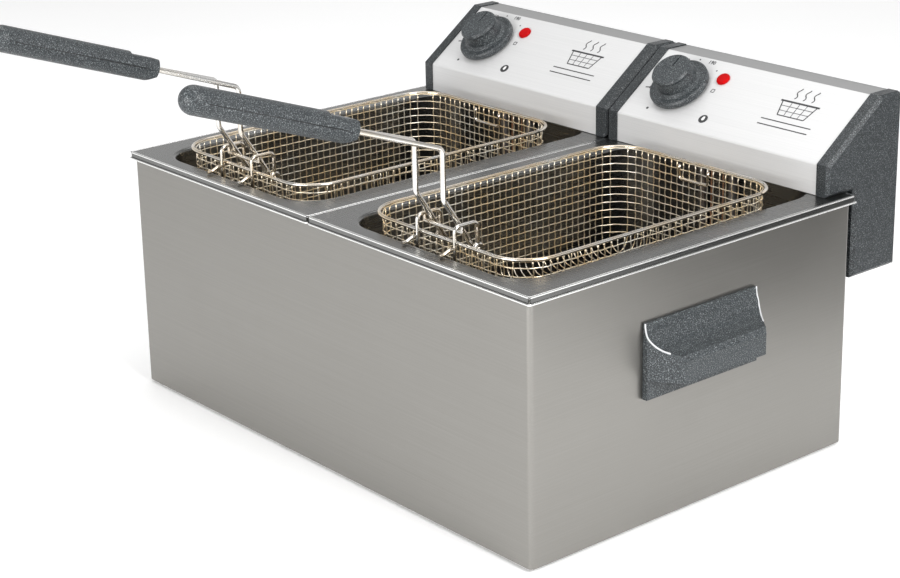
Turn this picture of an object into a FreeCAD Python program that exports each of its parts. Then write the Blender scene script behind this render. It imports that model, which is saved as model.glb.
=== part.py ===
import FreeCAD
import Part
import Sketcher
import math
import os
import re

# Twin deep fryer: an open steel housing with two lift-out oil pans, two wire baskets with
# folding handles and two lift-off control heads that carry the heating elements.
# X runs along the front, +Y to the rear and +Z up. Lengths are millimetres.

SIZES = {
    # housing
    "housing_width": 540, "housing_depth": 366, "wall_height": 223.5, "foot_drop": 3,
    "housing_sheet": 1.2, "corner_round": 4, "top_return": 7, "lip_notch": 5, "bottom_return": 14,
    "beam_half_width": 12, "beam_drop": 22, "foot_radius": 11, "foot_inset": 34,
    "plug_radius": 4, "plug_height": 5, "vent_length": 60, "vent_width": 5,
    "vent_pitch": 14, "vent_count": 6,
    # clearances
    "seat_gap": 0.3, "fit_gap": 0.2, "shaft_gap": 0.05,
    # oil pans
    "pan_sheet": 1, "pan_gap": 0.8, "lip_gap": 1.6, "lip_drop": 7, "lip_short": 1.5,
    "hem_height": 2, "hem_bulge": 0.8, "tub_width": 216, "tub_rear_gap": 10,
    "tub_front": 14, "tub_depth": 160, "tub_corner": 32, "tub_floor_round": 16, "draw_round": 3,
    # side handles
    "grip_length": 128, "grip_height": 64, "grip_reach": 30, "grip_plate": 5, "grip_wall": 4,
    "grip_taper": 18, "grip_top": 176, "lip_level": 17, "scoop_drop": 23, "scoop_start": 2.5,
    "scoop_inset": 8.5, "shoulder_inset": 2.4, "shoulder_drop": 1.2, "shoulder_height": 6,
    "hood_inset": 13, "hood_drop": 9, "hood_slope": 2, "hood_rise": 4, "grip_screw_pitch": 90,
    "grip_screw_drop": 14, "grip_screw_depth": 4, "screw_tip_gap": 0.5,
    "screw_radius": 2, "screw_head_radius": 4, "screw_head_height": 2.4,
    # baskets
    "basket_width": 198, "basket_length": 298, "basket_front": 24, "basket_depth": 98,
    "basket_corner": 33, "basket_floor_round": 14, "mesh_thickness": 0.8, "rim_radius": 1.6,
    "rim_height": 8.2, "bracket_radius": 1.6, "bracket_rise": 14, "bracket_fall": 24,
    "bracket_bend": 5, "weld_step": 0.12, "pivot_clear": 2, "stop_drop": 4, "hook_reach": 12,
    "hook_drop": 3.5, "hook_crest": 5.4, "hook_tip": 4, "hook_bend": 2.4,
    # folding handles
    "wire_radius": 2.25, "leg_half_gap": 17, "neck_half_gap": 3.2, "pivot_y": 46,
    "pivot_drop": 9, "knee_y": 16.5, "knee_rise": 36, "elbow_rise": 77, "handle_tilt": 19.3,
    "neck_length": 79, "neck_bend": 20, "elbow_bend": 6, "knee_bend": 9, "pivot_bend": 2.8,
    "neck_lead": 3, "handle_length": 157, "handle_radius": 11, "slot_depth": 38, "slot_end_gap": 2,
    "handle_step": 2.2, "handle_step_length": 27, "end_chamfer": 6, "end_chamfer_length": 9,
    # control heads
    "head_width": 264, "head_shift": 3.9, "head_overlap": 26.6, "front_face": 27.9,
    "slope_angle": 36, "slope_length": 83, "top_depth": 24, "hang_gap": 8.6, "hang_drop": 79,
    "cheek": 13, "cheek_bevel": 3, "panel_inset": 1.2, "head_sheet": 1, "bend_round": 2.5,
    "cover_sheet": 1.2, "cover_margin": 1, "cover_screw_inset": 14, "cover_screw_depth": 12,
    "louvre_low": 62, "louvre_high": 22,
    # controls
    "knob_x": -72, "knob_s": 43.5, "knob_radius": 28.5, "knob_base": 7, "knob_cap_radius": 19,
    "knob_height": 24, "knob_lift": 0.4, "knob_edge": 1, "knob_round": 1.6, "cap_flare": 3.2,
    "cap_foot": 2.4, "cap_waist": 0.8, "cap_shoulder": 5, "cap_crown": 2, "cap_edge": 1.4,
    "mark_half": 0.8, "mark_inner": 4, "mark_depth": 1, "shaft_short": 8, "bore_short": 6,
    "shaft_radius": 3, "shaft_depth": 18, "neck_radius": 5, "thermostat_size": 38,
    "thermostat_depth": 26, "lamp_x": -35, "lamp_s": 63, "lamp_radius": 6.5, "lamp_neck": 4.8,
    "lamp_rise": 2.6, "lamp_round": 1.8, "lamp_body": 22, "holder_flange": 3, "holder_grow": 1.5,
    "holder_play": 0.4,
    # heating element and sensors
    "element_radius": 3.5, "element_level": 16, "element_pitch": 30, "element_inner": 18,
    "element_front": 44, "element_turn": 62, "element_back": 300, "riser_set": 8.5,
    "bulb_radius": 3, "bulb_length": 90, "bulb_rear": 300, "bulb_half_gap": 7,
    "capillary_radius": 0.8, "capillary_bend": 10, "capillary_over": 8, "saddle_width": 12,
    "saddle_sheet": 1.2, "saddle_inset": 18, "riser_bend": 14, "cross_bend": 25, "riser_over": 12,
    "block_width": 64, "block_height": 8, "block_front": 5.2, "block_rear": 9,
    # rear fittings
    "gland_x": -62, "gland_z": 176, "gland_bore": 4.2, "gland_radius": 8, "gland_step": 1.5,
    "gland_in": 6, "gland_out": 6, "reset_x": 62, "reset_z": 186, "reset_radius": 4,
    "reset_in": 5, "reset_out": 4, "reset_round": 1, "cutout_radius": 13, "cutout_depth": 16,
    "cutout_bore": 9, "terminal_width": 56, "terminal_height": 20, "terminal_depth": 16,
    "terminal_lift": 22, "terminal_hole": 2, "terminal_bore": 8, "terminal_ways": 6,
    "switch_width": 24, "switch_height": 14, "switch_depth": 11, "switch_lift": 40,
    "switch_offset": 12, "switch_round": 1.5,
}

doc = FreeCAD.newDocument("Fryer")
sheet = doc.addObject("Spreadsheet::Sheet", "Dims")
for row, (word, value) in enumerate(SIZES.items(), start=1):
    sheet.set(f"A{row}", word)
    sheet.set(f"B{row}", str(value))
    sheet.setAlias(f"B{row}", word)
probe = doc.addObject("App::FeaturePython", "Probe")
probe.addProperty("App::PropertyFloat", "Value")
doc.recompute()

WORD = re.compile(r"[a-z][a-z0-9_]*")
X_AXIS = FreeCAD.Vector(1, 0, 0)
Z_AXIS = FreeCAD.Vector(0, 0, 1)
NEAR = 0.01
known = {}
parts = []


def bound(expression):
    """The expression with each size's name pointed at its cell."""
    def name_cell(match):
        word = match.group(0)
        return "Dims." + word if word in SIZES else word
    return WORD.sub(name_cell, str(expression))


def number(expression):
    """The value of an expression over the sheet's names."""
    text = str(expression)
    if text not in known:
        probe.setExpression("Value", bound(text))
        probe.recompute()
        known[text] = probe.Value
    return known[text]


def vector(x, y, z):
    """A point whose coordinates are expressions."""
    return FreeCAD.Vector(number(x), number(y), number(z))


# Levels and lines that several pieces share
HALF_WIDTH = "(housing_width / 2)"
HOUSING_TOP = "(foot_drop + wall_height)"
FLANGE_UNDER = f"({HOUSING_TOP} + seat_gap)"
FLANGE_TOP = f"({FLANGE_UNDER} + pan_sheet)"
LIP_BOTTOM = f"({FLANGE_TOP} - lip_drop)"
BASE_TOP = "(foot_drop + 2 * housing_sheet + fit_gap)"
OVERHANG = "(lip_gap + pan_sheet)"
PAN_OUTER = f"({HALF_WIDTH} + {OVERHANG})"
PAN_CENTRE = f"(({PAN_OUTER} + pan_gap / 2) / 2)"
PAN_HALF = f"(({PAN_OUTER} - pan_gap / 2) / 2)"
PAN_REAR = f"(housing_depth + {OVERHANG})"
TUB_HALF = "(tub_width / 2)"
TUB_REAR = "(housing_depth - tub_rear_gap)"
TUB_FLOOR = f"({FLANGE_TOP} - tub_depth)"
RIM_Z = f"({FLANGE_TOP} + rim_height)"
RIM_HALF = "(basket_width / 2 - rim_radius)"
RIM_FRONT = "(basket_front + rim_radius)"
RIM_REAR = "(basket_front + basket_length - rim_radius)"
MESH_HALF = f"({RIM_HALF} - rim_radius - fit_gap)"
MESH_FRONT = f"({RIM_FRONT} + rim_radius + fit_gap)"
MESH_REAR = f"({RIM_REAR} - rim_radius - fit_gap)"
MESH_FLOOR = f"({RIM_Z} - basket_depth)"
PIVOT_Z = f"({RIM_Z} - pivot_drop)"
KNEE_Z = f"({RIM_Z} + knee_rise)"
ELBOW_Z = f"({RIM_Z} + elbow_rise)"
HANDLE_Y = "(knee_y - neck_length * cos(handle_tilt))"
HANDLE_Z = f"({ELBOW_Z} + neck_length * sin(handle_tilt))"
HANDLE_TIP_Y = f"({HANDLE_Y} - (handle_length - handle_radius) * cos(handle_tilt) - handle_radius)"
HEAD_CENTRE = f"({PAN_CENTRE} - head_shift)"
HEAD_HALF = "(head_width / 2)"
HEAD_SEAT = f"({FLANGE_TOP} + seat_gap)"
BEND_Z = f"({HEAD_SEAT} + front_face)"
HEAD_FRONT = f"({PAN_REAR} - head_overlap)"
RISER_Y = f"({HEAD_FRONT} + riser_set)"
TOP_Y = f"({HEAD_FRONT} + slope_length * cos(slope_angle))"
TOP_Z = f"({BEND_Z} + slope_length * sin(slope_angle))"
HEAD_REAR = f"({TOP_Y} + top_depth)"
HANG_Y = f"({PAN_REAR} + hem_bulge + hang_gap)"
HANG_Z = f"({HEAD_SEAT} - hang_drop)"
COVER_OUT = f"({HEAD_REAR} + fit_gap + cover_sheet)"
REAR_END = f"({COVER_OUT} + gland_out)"
PANEL_HALF = f"({HEAD_HALF} - cheek - fit_gap)"
PANEL_UNDER = "(panel_inset + head_sheet)"
BASE_INNER = f"({HEAD_SEAT} + head_sheet)"
WALL_INNER = f"({HANG_Y} + head_sheet)"
ELEMENT_Z = f"({TUB_FLOOR} + element_level)"
# The origin lies under the middle of everything from the handle tips to the cord inlets
SHIFT = f"(-({HANDLE_TIP_Y} + {REAR_END}) / 2)"


def round_rect(x0, y0, x1, y1, radius):
    """Edges and corner radius of a rounded rectangle."""
    return {"edges": (x0, y0, x1, y1), "round": radius}


def minus(expression):
    return f"(-({expression}))"


def rect(x0, y0, x1, y1):
    """Corners of an upright rectangle."""
    return [(x0, y0), (x1, y0), (x1, y1), (x0, y1)]


def circle(x, y, radius):
    """Centre and radius of a round loop."""
    return {"x": x, "y": y, "radius": radius}


def place(item, x, y, z, axis=None, angle=None):
    """Tie a piece's place to the sheet, measured from the housing's front face."""
    if axis is not None:
        item.Placement = FreeCAD.Placement(FreeCAD.Vector(), FreeCAD.Rotation(axis, number(angle)))
        item.setExpression("Placement.Rotation.Angle", bound(angle))
    item.setExpression("Placement.Base.x", bound(x))
    item.setExpression("Placement.Base.y", bound(f"({y}) + {SHIFT}"))
    item.setExpression("Placement.Base.z", bound(z))


def new_body(label, x="0", y="0", z="0", axis=None, angle=None):
    """A PartDesign body that becomes one named piece."""
    body = doc.addObject("PartDesign::Body", label)
    body.Label = label
    place(body, x, y, z, axis, angle)
    parts.append(body)
    return body


def add_piece(label, shape, x="0", y="0", z="0", axis=None, angle=None):
    """A named piece whose shape was worked out from the sheet."""
    item = doc.addObject("Part::Feature", label)
    item.Label = label
    item.Shape = shape
    place(item, x, y, z, axis, angle)
    parts.append(item)
    return item


def tie(sketch, kind, geometry, corner, expression):
    """One driving distance from the sketch's origin."""
    value = number(expression)
    constraint = Sketcher.Constraint(kind, -1, 1, geometry, corner, value)
    index = sketch.addConstraint(constraint)
    name = f"tie{index}"
    sketch.renameConstraint(index, name)
    sketch.setExpression("Constraints." + name, bound(expression))


def draw_round_rect(sketch, loop):
    """Four lines joined by tangent arcs whose centres and radii are driven."""
    first = sketch.GeometryCount
    x0, y0, x1, y1 = loop["edges"]
    radius = loop["round"]
    bend = number(radius)
    left, low, right, high = (number(edge) for edge in loop["edges"])
    # each corner: centre, driven centre expressions, start angle of its arc
    corners = [(right - bend, low + bend, f"{x1} - {radius}", f"{y0} + {radius}", -90),
               (right - bend, high - bend, f"{x1} - {radius}", f"{y1} - {radius}", 0),
               (left + bend, high - bend, f"{x0} + {radius}", f"{y1} - {radius}", 90),
               (left + bend, low + bend, f"{x0} + {radius}", f"{y0} + {radius}", 180)]
    arcs = []
    for x, y, _, _, start in corners:
        round_ = Part.Circle(FreeCAD.Vector(x, y, 0), Z_AXIS, bend)
        arc = Part.ArcOfCircle(round_, math.radians(start), math.radians(start + 90))
        arcs.append(arc)
        sketch.addGeometry(arc, False)
    for index in range(4):
        following = (index + 1) % 4
        sketch.addGeometry(Part.LineSegment(arcs[index].EndPoint, arcs[following].StartPoint), False)
        line = first + 4 + index
        sketch.addConstraint(Sketcher.Constraint("Tangent", first + index, 2, line, 1))
        sketch.addConstraint(Sketcher.Constraint("Tangent", line, 2, first + following, 1))
    for index, (_, _, across, along, _) in enumerate(corners):
        tie(sketch, "DistanceX", first + index, 3, across)
        tie(sketch, "DistanceY", first + index, 3, along)
        drive_radius(sketch, first + index, radius)


def drive_radius(sketch, geometry, expression):
    """One driving radius."""
    index = sketch.addConstraint(Sketcher.Constraint("Radius", geometry, number(expression)))
    sketch.renameConstraint(index, f"radius{index}")
    sketch.setExpression(f"Constraints.radius{index}", bound(expression))


def draw_loop(sketch, loop):
    """A polygon, a circle or a rounded rectangle, held by expressions."""
    first = sketch.GeometryCount
    if isinstance(loop, dict) and "edges" in loop:
        draw_round_rect(sketch, loop)
        return
    if isinstance(loop, dict):
        centre = vector(loop["x"], loop["y"], "0")
        sketch.addGeometry(Part.Circle(centre, Z_AXIS, number(loop["radius"])), False)
        tie(sketch, "DistanceX", first, 3, loop["x"])
        tie(sketch, "DistanceY", first, 3, loop["y"])
        drive_radius(sketch, first, loop["radius"])
        return
    corners = [vector(x, y, "0") for x, y in loop]
    count = len(corners)
    for index in range(count):
        line = Part.LineSegment(corners[index], corners[(index + 1) % count])
        sketch.addGeometry(line, False)
    for index in range(count):
        following = first + (index + 1) % count
        sketch.addConstraint(Sketcher.Constraint("Coincident", first + index, 2, following, 1))
    for index, (x, y) in enumerate(loop):
        tie(sketch, "DistanceX", first + index, 1, x)
        tie(sketch, "DistanceY", first + index, 1, y)


def sketch_on(body, plane, level, loops):
    """A sketch on one of the body's own planes, or on the head's slope."""
    sketch = body.newObject("Sketcher::SketchObject", body.Label + "_sketch")
    role = "XY_Plane" if plane == "slope" else plane + "_Plane"
    flat = next(item for item in body.Origin.OriginFeatures if item.Role == role)
    sketch.AttachmentSupport = [(flat, "")]
    sketch.MapMode = "FlatFace"
    if plane == "slope":
        tilt = FreeCAD.Rotation(X_AXIS, number("slope_angle"))
        sketch.AttachmentOffset = FreeCAD.Placement(FreeCAD.Vector(), tilt)
        sketch.setExpression("AttachmentOffset.Rotation.Angle", bound("slope_angle"))
        sketch.setExpression("AttachmentOffset.Base.y", bound(HEAD_FRONT))
        sketch.setExpression("AttachmentOffset.Base.z", bound(BEND_Z))
    else:
        offset = minus(level) if plane == "XZ" else level
        sketch.setExpression("AttachmentOffset.Base.z", bound(offset))
    for loop in loops:
        draw_loop(sketch, loop)
    return sketch


def add(body, plane, start, end, loops):
    """Pad loops from one level to a higher one along the plane's world axis."""
    sketch = sketch_on(body, plane, end if plane == "XZ" else start, loops)
    pad = body.newObject("PartDesign::Pad", body.Label + "_pad")
    pad.Profile = sketch
    pad.setExpression("Length", bound(f"({end}) - ({start})"))
    doc.recompute()
    if "Invalid" in pad.State or "Invalid" in sketch.State:
        raise RuntimeError(f"{body.Label}: a pad failed")
    return pad


def cut(body, plane, start, end, loops):
    """Pocket loops between two levels along the plane's world axis."""
    before = body.Shape.Volume
    sketch = sketch_on(body, plane, start if plane == "XZ" else end, loops)
    pocket = body.newObject("PartDesign::Pocket", body.Label + "_pocket")
    pocket.Profile = sketch
    pocket.setExpression("Length", bound(f"({end}) - ({start})"))
    doc.recompute()
    if not body.Shape.Volume < before - NEAR:
        raise RuntimeError(f"{body.Label}: a pocket removed nothing")
    return pocket


def ends(edge):
    return [vertex.Point for vertex in edge.Vertexes]


def upright(edge):
    """Whether an edge is a straight vertical line."""
    points = ends(edge)
    if len(points) < 2 or edge.Curve.TypeId != "Part::GeomLine":
        return False
    run = points[1] - points[0]
    return abs(run.x) < NEAR and abs(run.y) < NEAR


def flat_at(level):
    """A chooser for edges that lie at one height."""
    height = number(level)
    return lambda edge: all(abs(point.z - height) < NEAR for point in ends(edge))


def standing_at(x):
    """A chooser for edges at one distance to either side of the middle."""
    half = number(x)
    return lambda edge: all(abs(abs(point.x) - half) < NEAR for point in ends(edge))


def facing_rear(level):
    """A chooser for edges that lie in one plane across Y."""
    plane = number(level)

    def chooser(edge):
        return all(abs(point.y - plane) < NEAR for point in ends(edge))
    return chooser


def round_off(body, choosers, radius, kind="Fillet"):
    """Fillet or chamfer the tip's edges that every chooser picks."""
    base = body.Tip
    names = []
    for index, edge in enumerate(base.Shape.Edges, start=1):
        if all(chooser(edge) for chooser in choosers):
            names.append(f"Edge{index}")
    if not names:
        raise RuntimeError(f"{body.Label}: no edge to round")
    feature = body.newObject("PartDesign::" + kind, body.Label + "_" + kind.lower())
    feature.Base = (base, names)
    feature.setExpression("Radius" if kind == "Fillet" else "Size", bound(radius))
    doc.recompute()
    if "Invalid" in feature.State:
        raise RuntimeError(f"{body.Label}: the {kind.lower()} of {len(names)} edges failed")
    return feature


def hollow_out(body, wall):
    """Shell the tip inwards, open at its top face."""
    base = body.Tip
    faces = base.Shape.Faces
    top = max(range(len(faces)), key=lambda index: faces[index].CenterOfMass.z)
    shell = body.newObject("PartDesign::Thickness", body.Label + "_shell")
    shell.Base = (base, [f"Face{top + 1}"])
    shell.Reversed = True
    shell.setExpression("Value", bound(wall))
    doc.recompute()
    if "Invalid" in shell.State or not shell.Shape.Volume < base.Shape.Volume / 2:
        raise RuntimeError(f"{body.Label}: the shell failed")


def tube_path(points, bends):
    """Straight runs joined by tangent arcs, one bend radius per inner point."""
    edges = []
    start = points[0]
    for before, corner, after, bend in zip(points, points[1:], points[2:], bends):
        incoming = (corner - before).normalize()
        outgoing = (after - corner).normalize()
        half_turn = incoming.getAngle(outgoing) / 2
        reach = bend * math.tan(half_turn)
        enter = corner - incoming * reach
        leave = corner + outgoing * reach
        inward = (outgoing - incoming).normalize()
        middle = corner + inward * (bend / math.cos(half_turn) - bend)
        if (enter - start).Length > NEAR:
            edges.append(Part.LineSegment(start, enter).toShape())
        edges.append(Part.Arc(enter, middle, leave).toShape())
        start = leave
    edges.append(Part.LineSegment(start, points[-1]).toShape())
    return Part.Wire(edges)


def tube(points, radius, bends):
    """A bent round wire or tube."""
    path = tube_path(points, bends)
    ring = Part.makeCircle(radius, points[0], points[1] - points[0])
    solid = path.makePipeShell([Part.Wire(ring)], True, False)
    expected = math.pi * radius ** 2 * path.Length
    if abs(solid.Volume - expected) > 0.01 * expected:
        raise RuntimeError("a tube's volume is wrong")
    return solid


def rod(start, along, radius):
    """A straight round bar."""
    return Part.makeCylinder(radius, along.Length, start, along)


def outline(depth):
    """The head's front, slope and top as a line this far inside the cheeks' edge."""
    upper = f"{depth} * tan(45 - slope_angle / 2)"
    rear = f"{depth} * tan(slope_angle / 2)"
    return [(f"({HEAD_FRONT} + {depth})", f"({HEAD_SEAT} + fit_gap)"),
            (f"({HEAD_FRONT} + {depth})", f"({BEND_Z} - {upper})"),
            (f"({TOP_Y} + {rear})", f"({TOP_Z} - {depth})"),
            (HEAD_REAR, f"({TOP_Z} - {depth})")]


# ---------------------------------------------------------------- housing

def make_housing_shell():
    """Four folded walls with a return flange round the top and the bottom."""
    body = new_body("housing_shell")
    inner = f"({HALF_WIDTH} - housing_sheet)"
    rear = "(housing_depth - housing_sheet)"
    add(body, "XY", "foot_drop", HOUSING_TOP,
        [rect(minus(HALF_WIDTH), "0", HALF_WIDTH, "housing_depth")])
    round_off(body, [upright], "corner_round")
    top = f"({HOUSING_TOP} - housing_sheet)"
    cut(body, "XY", "foot_drop + housing_sheet", HOUSING_TOP,
        [rect(minus(inner), "housing_sheet", inner, rear)])
    round_off(body, [upright, standing_at(inner)], "corner_round - housing_sheet")
    hole_x = f"({inner} - bottom_return)"
    cut(body, "XY", "foot_drop", "foot_drop + housing_sheet",
        [rect(minus(hole_x), "housing_sheet + bottom_return", hole_x, f"{rear} - bottom_return")])
    lip_x = f"({inner} - top_return)"
    add(body, "XY", top, HOUSING_TOP,
        [rect(minus(inner), "housing_sheet", inner, rear),
         rect(minus(lip_x), "housing_sheet + top_return", lip_x, f"{rear} - top_return")])
    # notches in the wall and return for the lips where the pans meet
    notch = "(lip_notch / 2)"
    reach = "(housing_sheet + top_return + 1)"
    cut(body, "XY", f"{LIP_BOTTOM} - fit_gap", HOUSING_TOP,
        [rect(minus(notch), "0", notch, reach),
         rect(minus(notch), f"housing_depth - {reach}", notch, "housing_depth")])
    middle = "(housing_depth / 2)"
    holes = [circle(f"{side} * grip_screw_pitch / 2 + {middle}", GRIP_SCREW_Z, "screw_radius + fit_gap")
             for side in (-1, 1)]
    cut(body, "YZ", minus(HALF_WIDTH), HALF_WIDTH, holes)


def make_base_plate():
    """Bottom plate on the lower return, with two rows of vents and four foot holes."""
    body = new_body("base_plate")
    half = f"({HALF_WIDTH} - housing_sheet - corner_round)"
    low = "(foot_drop + housing_sheet + fit_gap)"
    front = "(housing_sheet + corner_round)"
    add(body, "XY", low, BASE_TOP, [rect(minus(half), front, half, f"housing_depth - {front}")])
    feet = [circle(x, y, "plug_radius + fit_gap") for x, y in foot_places()]
    cut(body, "XY", low, BASE_TOP, feet)
    for side in (-1, 1):
        start = f"({side} * {PAN_CENTRE} - (vent_count - 1) * vent_pitch / 2)"
        slot = cut(body, "XY", low, BASE_TOP,
                   [rect(f"{start} - vent_width / 2", "(housing_depth - vent_length) / 2",
                         f"{start} + vent_width / 2", "(housing_depth + vent_length) / 2")])
        row = body.newObject("PartDesign::LinearPattern", "vent_row")
        row.Originals = [slot]
        x_axis = next(item for item in body.Origin.OriginFeatures if item.Role == "X_Axis")
        row.Direction = (x_axis, [""])
        row.setExpression("Length", bound("(vent_count - 1) * vent_pitch"))
        row.setExpression("Occurrences", bound("vent_count"))
        body.Tip = row
        doc.recompute()


def foot_places():
    """Centres of the four feet."""
    x = f"({HALF_WIDTH} - foot_inset)"
    return [(minus(x), "foot_inset"), (x, "foot_inset"),
            (minus(x), "housing_depth - foot_inset"), (x, "housing_depth - foot_inset")]


def make_feet():
    """Four rubber feet, each with a plug through the base plate."""
    feet = []
    under = number("foot_drop + housing_sheet + fit_gap") - number("shaft_gap")
    for x, y in foot_places():
        at = vector(x, y, "0")
        pad = Part.makeCylinder(number("foot_radius"), under, at)
        rim = [edge for edge in pad.Edges if edge.Vertexes[0].Z < NEAR and len(edge.Vertexes) == 1]
        pad = pad.makeFillet(number("foot_drop") / 3, rim)
        plug = Part.makeCylinder(number("plug_radius"), number("plug_height") + under, at)
        feet.append(pad.fuse(plug).removeSplitter())
    add_piece("rubber_feet", Part.makeCompound(feet))


def make_centre_beam():
    """Channel from front to rear that carries the pans' inner lips."""
    body = new_body("centre_beam")
    top = f"({LIP_BOTTOM} - seat_gap)"
    under = f"({top} - housing_sheet)"
    front = "(housing_sheet + fit_gap)"
    rear = f"(housing_depth - {front})"
    add(body, "XY", f"{top} - beam_drop", top, [rect("-beam_half_width", front, "beam_half_width", rear)])
    web = "(beam_half_width - housing_sheet)"
    cut(body, "XY", f"{top} - beam_drop", under, [rect(minus(web), front, web, rear)])


GRIP_BOTTOM = "(grip_top - grip_height)"
GRIP_LIP = f"({GRIP_BOTTOM} + lip_level)"
GRIP_SCREW_Z = "(grip_top - grip_screw_drop)"


# where the scoop's curve has its corners, in degrees
SCOOP_ANGLES = (20, 40, 60, 80)


def make_side_handle(label, turn):
    """Scooped hand grip: a back plate with a hollow hood that flares out to a lip."""
    x = HALF_WIDTH if turn == "0" else minus(HALF_WIDTH)
    body = new_body(label, x=x, y="housing_depth / 2", axis=Z_AXIS, angle=turn)
    half = "(grip_length / 2)"
    near = "fit_gap"
    scoop_low = "(grip_top - scoop_drop)"
    scoop = [("scoop_start", "grip_top")]
    for angle in SCOOP_ANGLES:
        across = f"scoop_start + (grip_reach - scoop_inset) * (1 - cos({angle}))"
        scoop.append((across, f"grip_top - scoop_drop * sin({angle})"))
    shoulder = [("grip_reach - shoulder_inset", f"{scoop_low} - shoulder_drop"),
                ("grip_reach", f"{scoop_low} - shoulder_height")]
    profile = [(near, "grip_top")] + scoop + shoulder
    profile += [("grip_reach", GRIP_LIP), ("grip_plate", GRIP_LIP),
                ("grip_plate", GRIP_BOTTOM), (near, GRIP_BOTTOM)]
    add(body, "XZ", minus(half), half, [profile])
    pocket_out = "(grip_reach - grip_wall)"
    cavity = [("grip_plate", GRIP_LIP), (pocket_out, GRIP_LIP),
              (pocket_out, f"{scoop_low} - hood_drop"),
              ("grip_reach - hood_inset", f"{scoop_low} - hood_slope"),
              ("grip_plate", f"{scoop_low} + hood_rise")]
    inner = f"({half} - grip_taper - grip_wall)"
    cut(body, "XZ", minus(inner), inner, [cavity])
    for side in (-1, 1):
        edge = f"({side} * {half})"
        far = f"({side} * ({half} - grip_taper))"
        wedge = [("grip_plate", edge), ("grip_reach + 1", far), ("grip_reach + 1", f"{edge} + {side}"),
                 ("grip_plate", f"{edge} + {side}")]
        cut(body, "XY", GRIP_LIP + " - 1", "grip_top + 1", [wedge])
    holes = [circle(f"{side} * grip_screw_pitch / 2", GRIP_SCREW_Z, "screw_radius + shaft_gap")
             for side in (-1, 1)]
    cut(body, "YZ", near, "grip_screw_depth", holes)


def screw(at, along, length):
    """Pan-head screw: the head starts at a point and the shank runs on from it."""
    head = rod(at, along * number("screw_head_height"), number("screw_head_radius"))
    far = [edge for edge in head.Edges
           if len(edge.Vertexes) == 1 and abs((edge.Vertexes[0].Point - at).dot(along)) < NEAR]
    head = head.makeFillet(number("screw_head_height") / 3, far)
    shank = rod(at, along * (number("screw_head_height") + length), number("screw_radius"))
    return head.fuse(shank).removeSplitter()


def make_handle_screws():
    """Four screws through the side walls into the grips, from inside."""
    screws = []
    for side in (-1, 1):
        inside = number(HALF_WIDTH) - number("housing_sheet + screw_head_height + shaft_gap")
        for pair in (-1, 1):
            along = f"housing_depth / 2 + {pair} * grip_screw_pitch / 2"
            at = vector(f"{side} * {inside}", along, GRIP_SCREW_Z)
            length = number("housing_sheet + grip_screw_depth - screw_tip_gap")
            screws.append(screw(at, FreeCAD.Vector(side, 0, 0), length))
    add_piece("grip_screws", Part.makeCompound(screws))


# ---------------------------------------------------------------- oil pan

def make_pan(name, x):
    """Drawn pan: a flat flange with turned-down, hemmed lips and a deep rounded tub."""
    body = new_body(name + "_oil_pan", x=x)
    outer = f"({TUB_HALF} + pan_sheet)"
    below = f"({TUB_FLOOR} - pan_sheet)"
    add(body, "XY", below, FLANGE_TOP,
        [round_rect(minus(outer), "(tub_front - pan_sheet)", outer, f"({TUB_REAR} + pan_sheet)",
                    "(tub_corner + pan_sheet)")])
    round_off(body, [flat_at(below)], "tub_floor_round + pan_sheet")
    hollow_out(body, "pan_sheet")
    front = minus(OVERHANG)
    add(body, "XY", FLANGE_UNDER, FLANGE_TOP,
        [rect(minus(PAN_HALF), front, PAN_HALF, PAN_REAR),
         round_rect(minus(TUB_HALF), "tub_front", TUB_HALF, TUB_REAR, "tub_corner")])
    left = minus(PAN_HALF)
    run_x = f"({PAN_HALF} - lip_short)"
    run_front = f"({front} + lip_short)"
    run_rear = f"({PAN_REAR} - lip_short)"
    add(body, "XY", LIP_BOTTOM, FLANGE_UNDER,
        [rect(minus(run_x), front, run_x, f"{front} + pan_sheet"),
         rect(minus(run_x), f"{PAN_REAR} - pan_sheet", run_x, PAN_REAR),
         rect(left, run_front, f"{left} + pan_sheet", run_rear),
         rect(f"{PAN_HALF} - pan_sheet", run_front, PAN_HALF, run_rear)])
    add(body, "XY", LIP_BOTTOM, f"{LIP_BOTTOM} + hem_height",
        [rect(minus(run_x), f"{front} - hem_bulge", run_x, front),
         rect(minus(run_x), PAN_REAR, run_x, f"{PAN_REAR} + hem_bulge")])
    mouth = number(TUB_HALF) + NEAR
    round_off(body, [flat_at(FLANGE_TOP), lambda edge: all(abs(point.x) < mouth for point in ends(edge))],
              "draw_round")


# ---------------------------------------------------------------- basket and folding handle

def make_basket_mesh(name, x):
    """Woven basket as a thin tub with the true outer shape."""
    body = new_body(name + "_basket_mesh", x=x)
    corner = "(basket_corner - rim_radius - fit_gap)"
    add(body, "XY", MESH_FLOOR, RIM_Z,
        [round_rect(minus(MESH_HALF), MESH_FRONT, MESH_HALF, MESH_REAR, corner)])
    round_off(body, [flat_at(MESH_FLOOR)], "basket_floor_round")
    hollow_out(body, "mesh_thickness")


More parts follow.
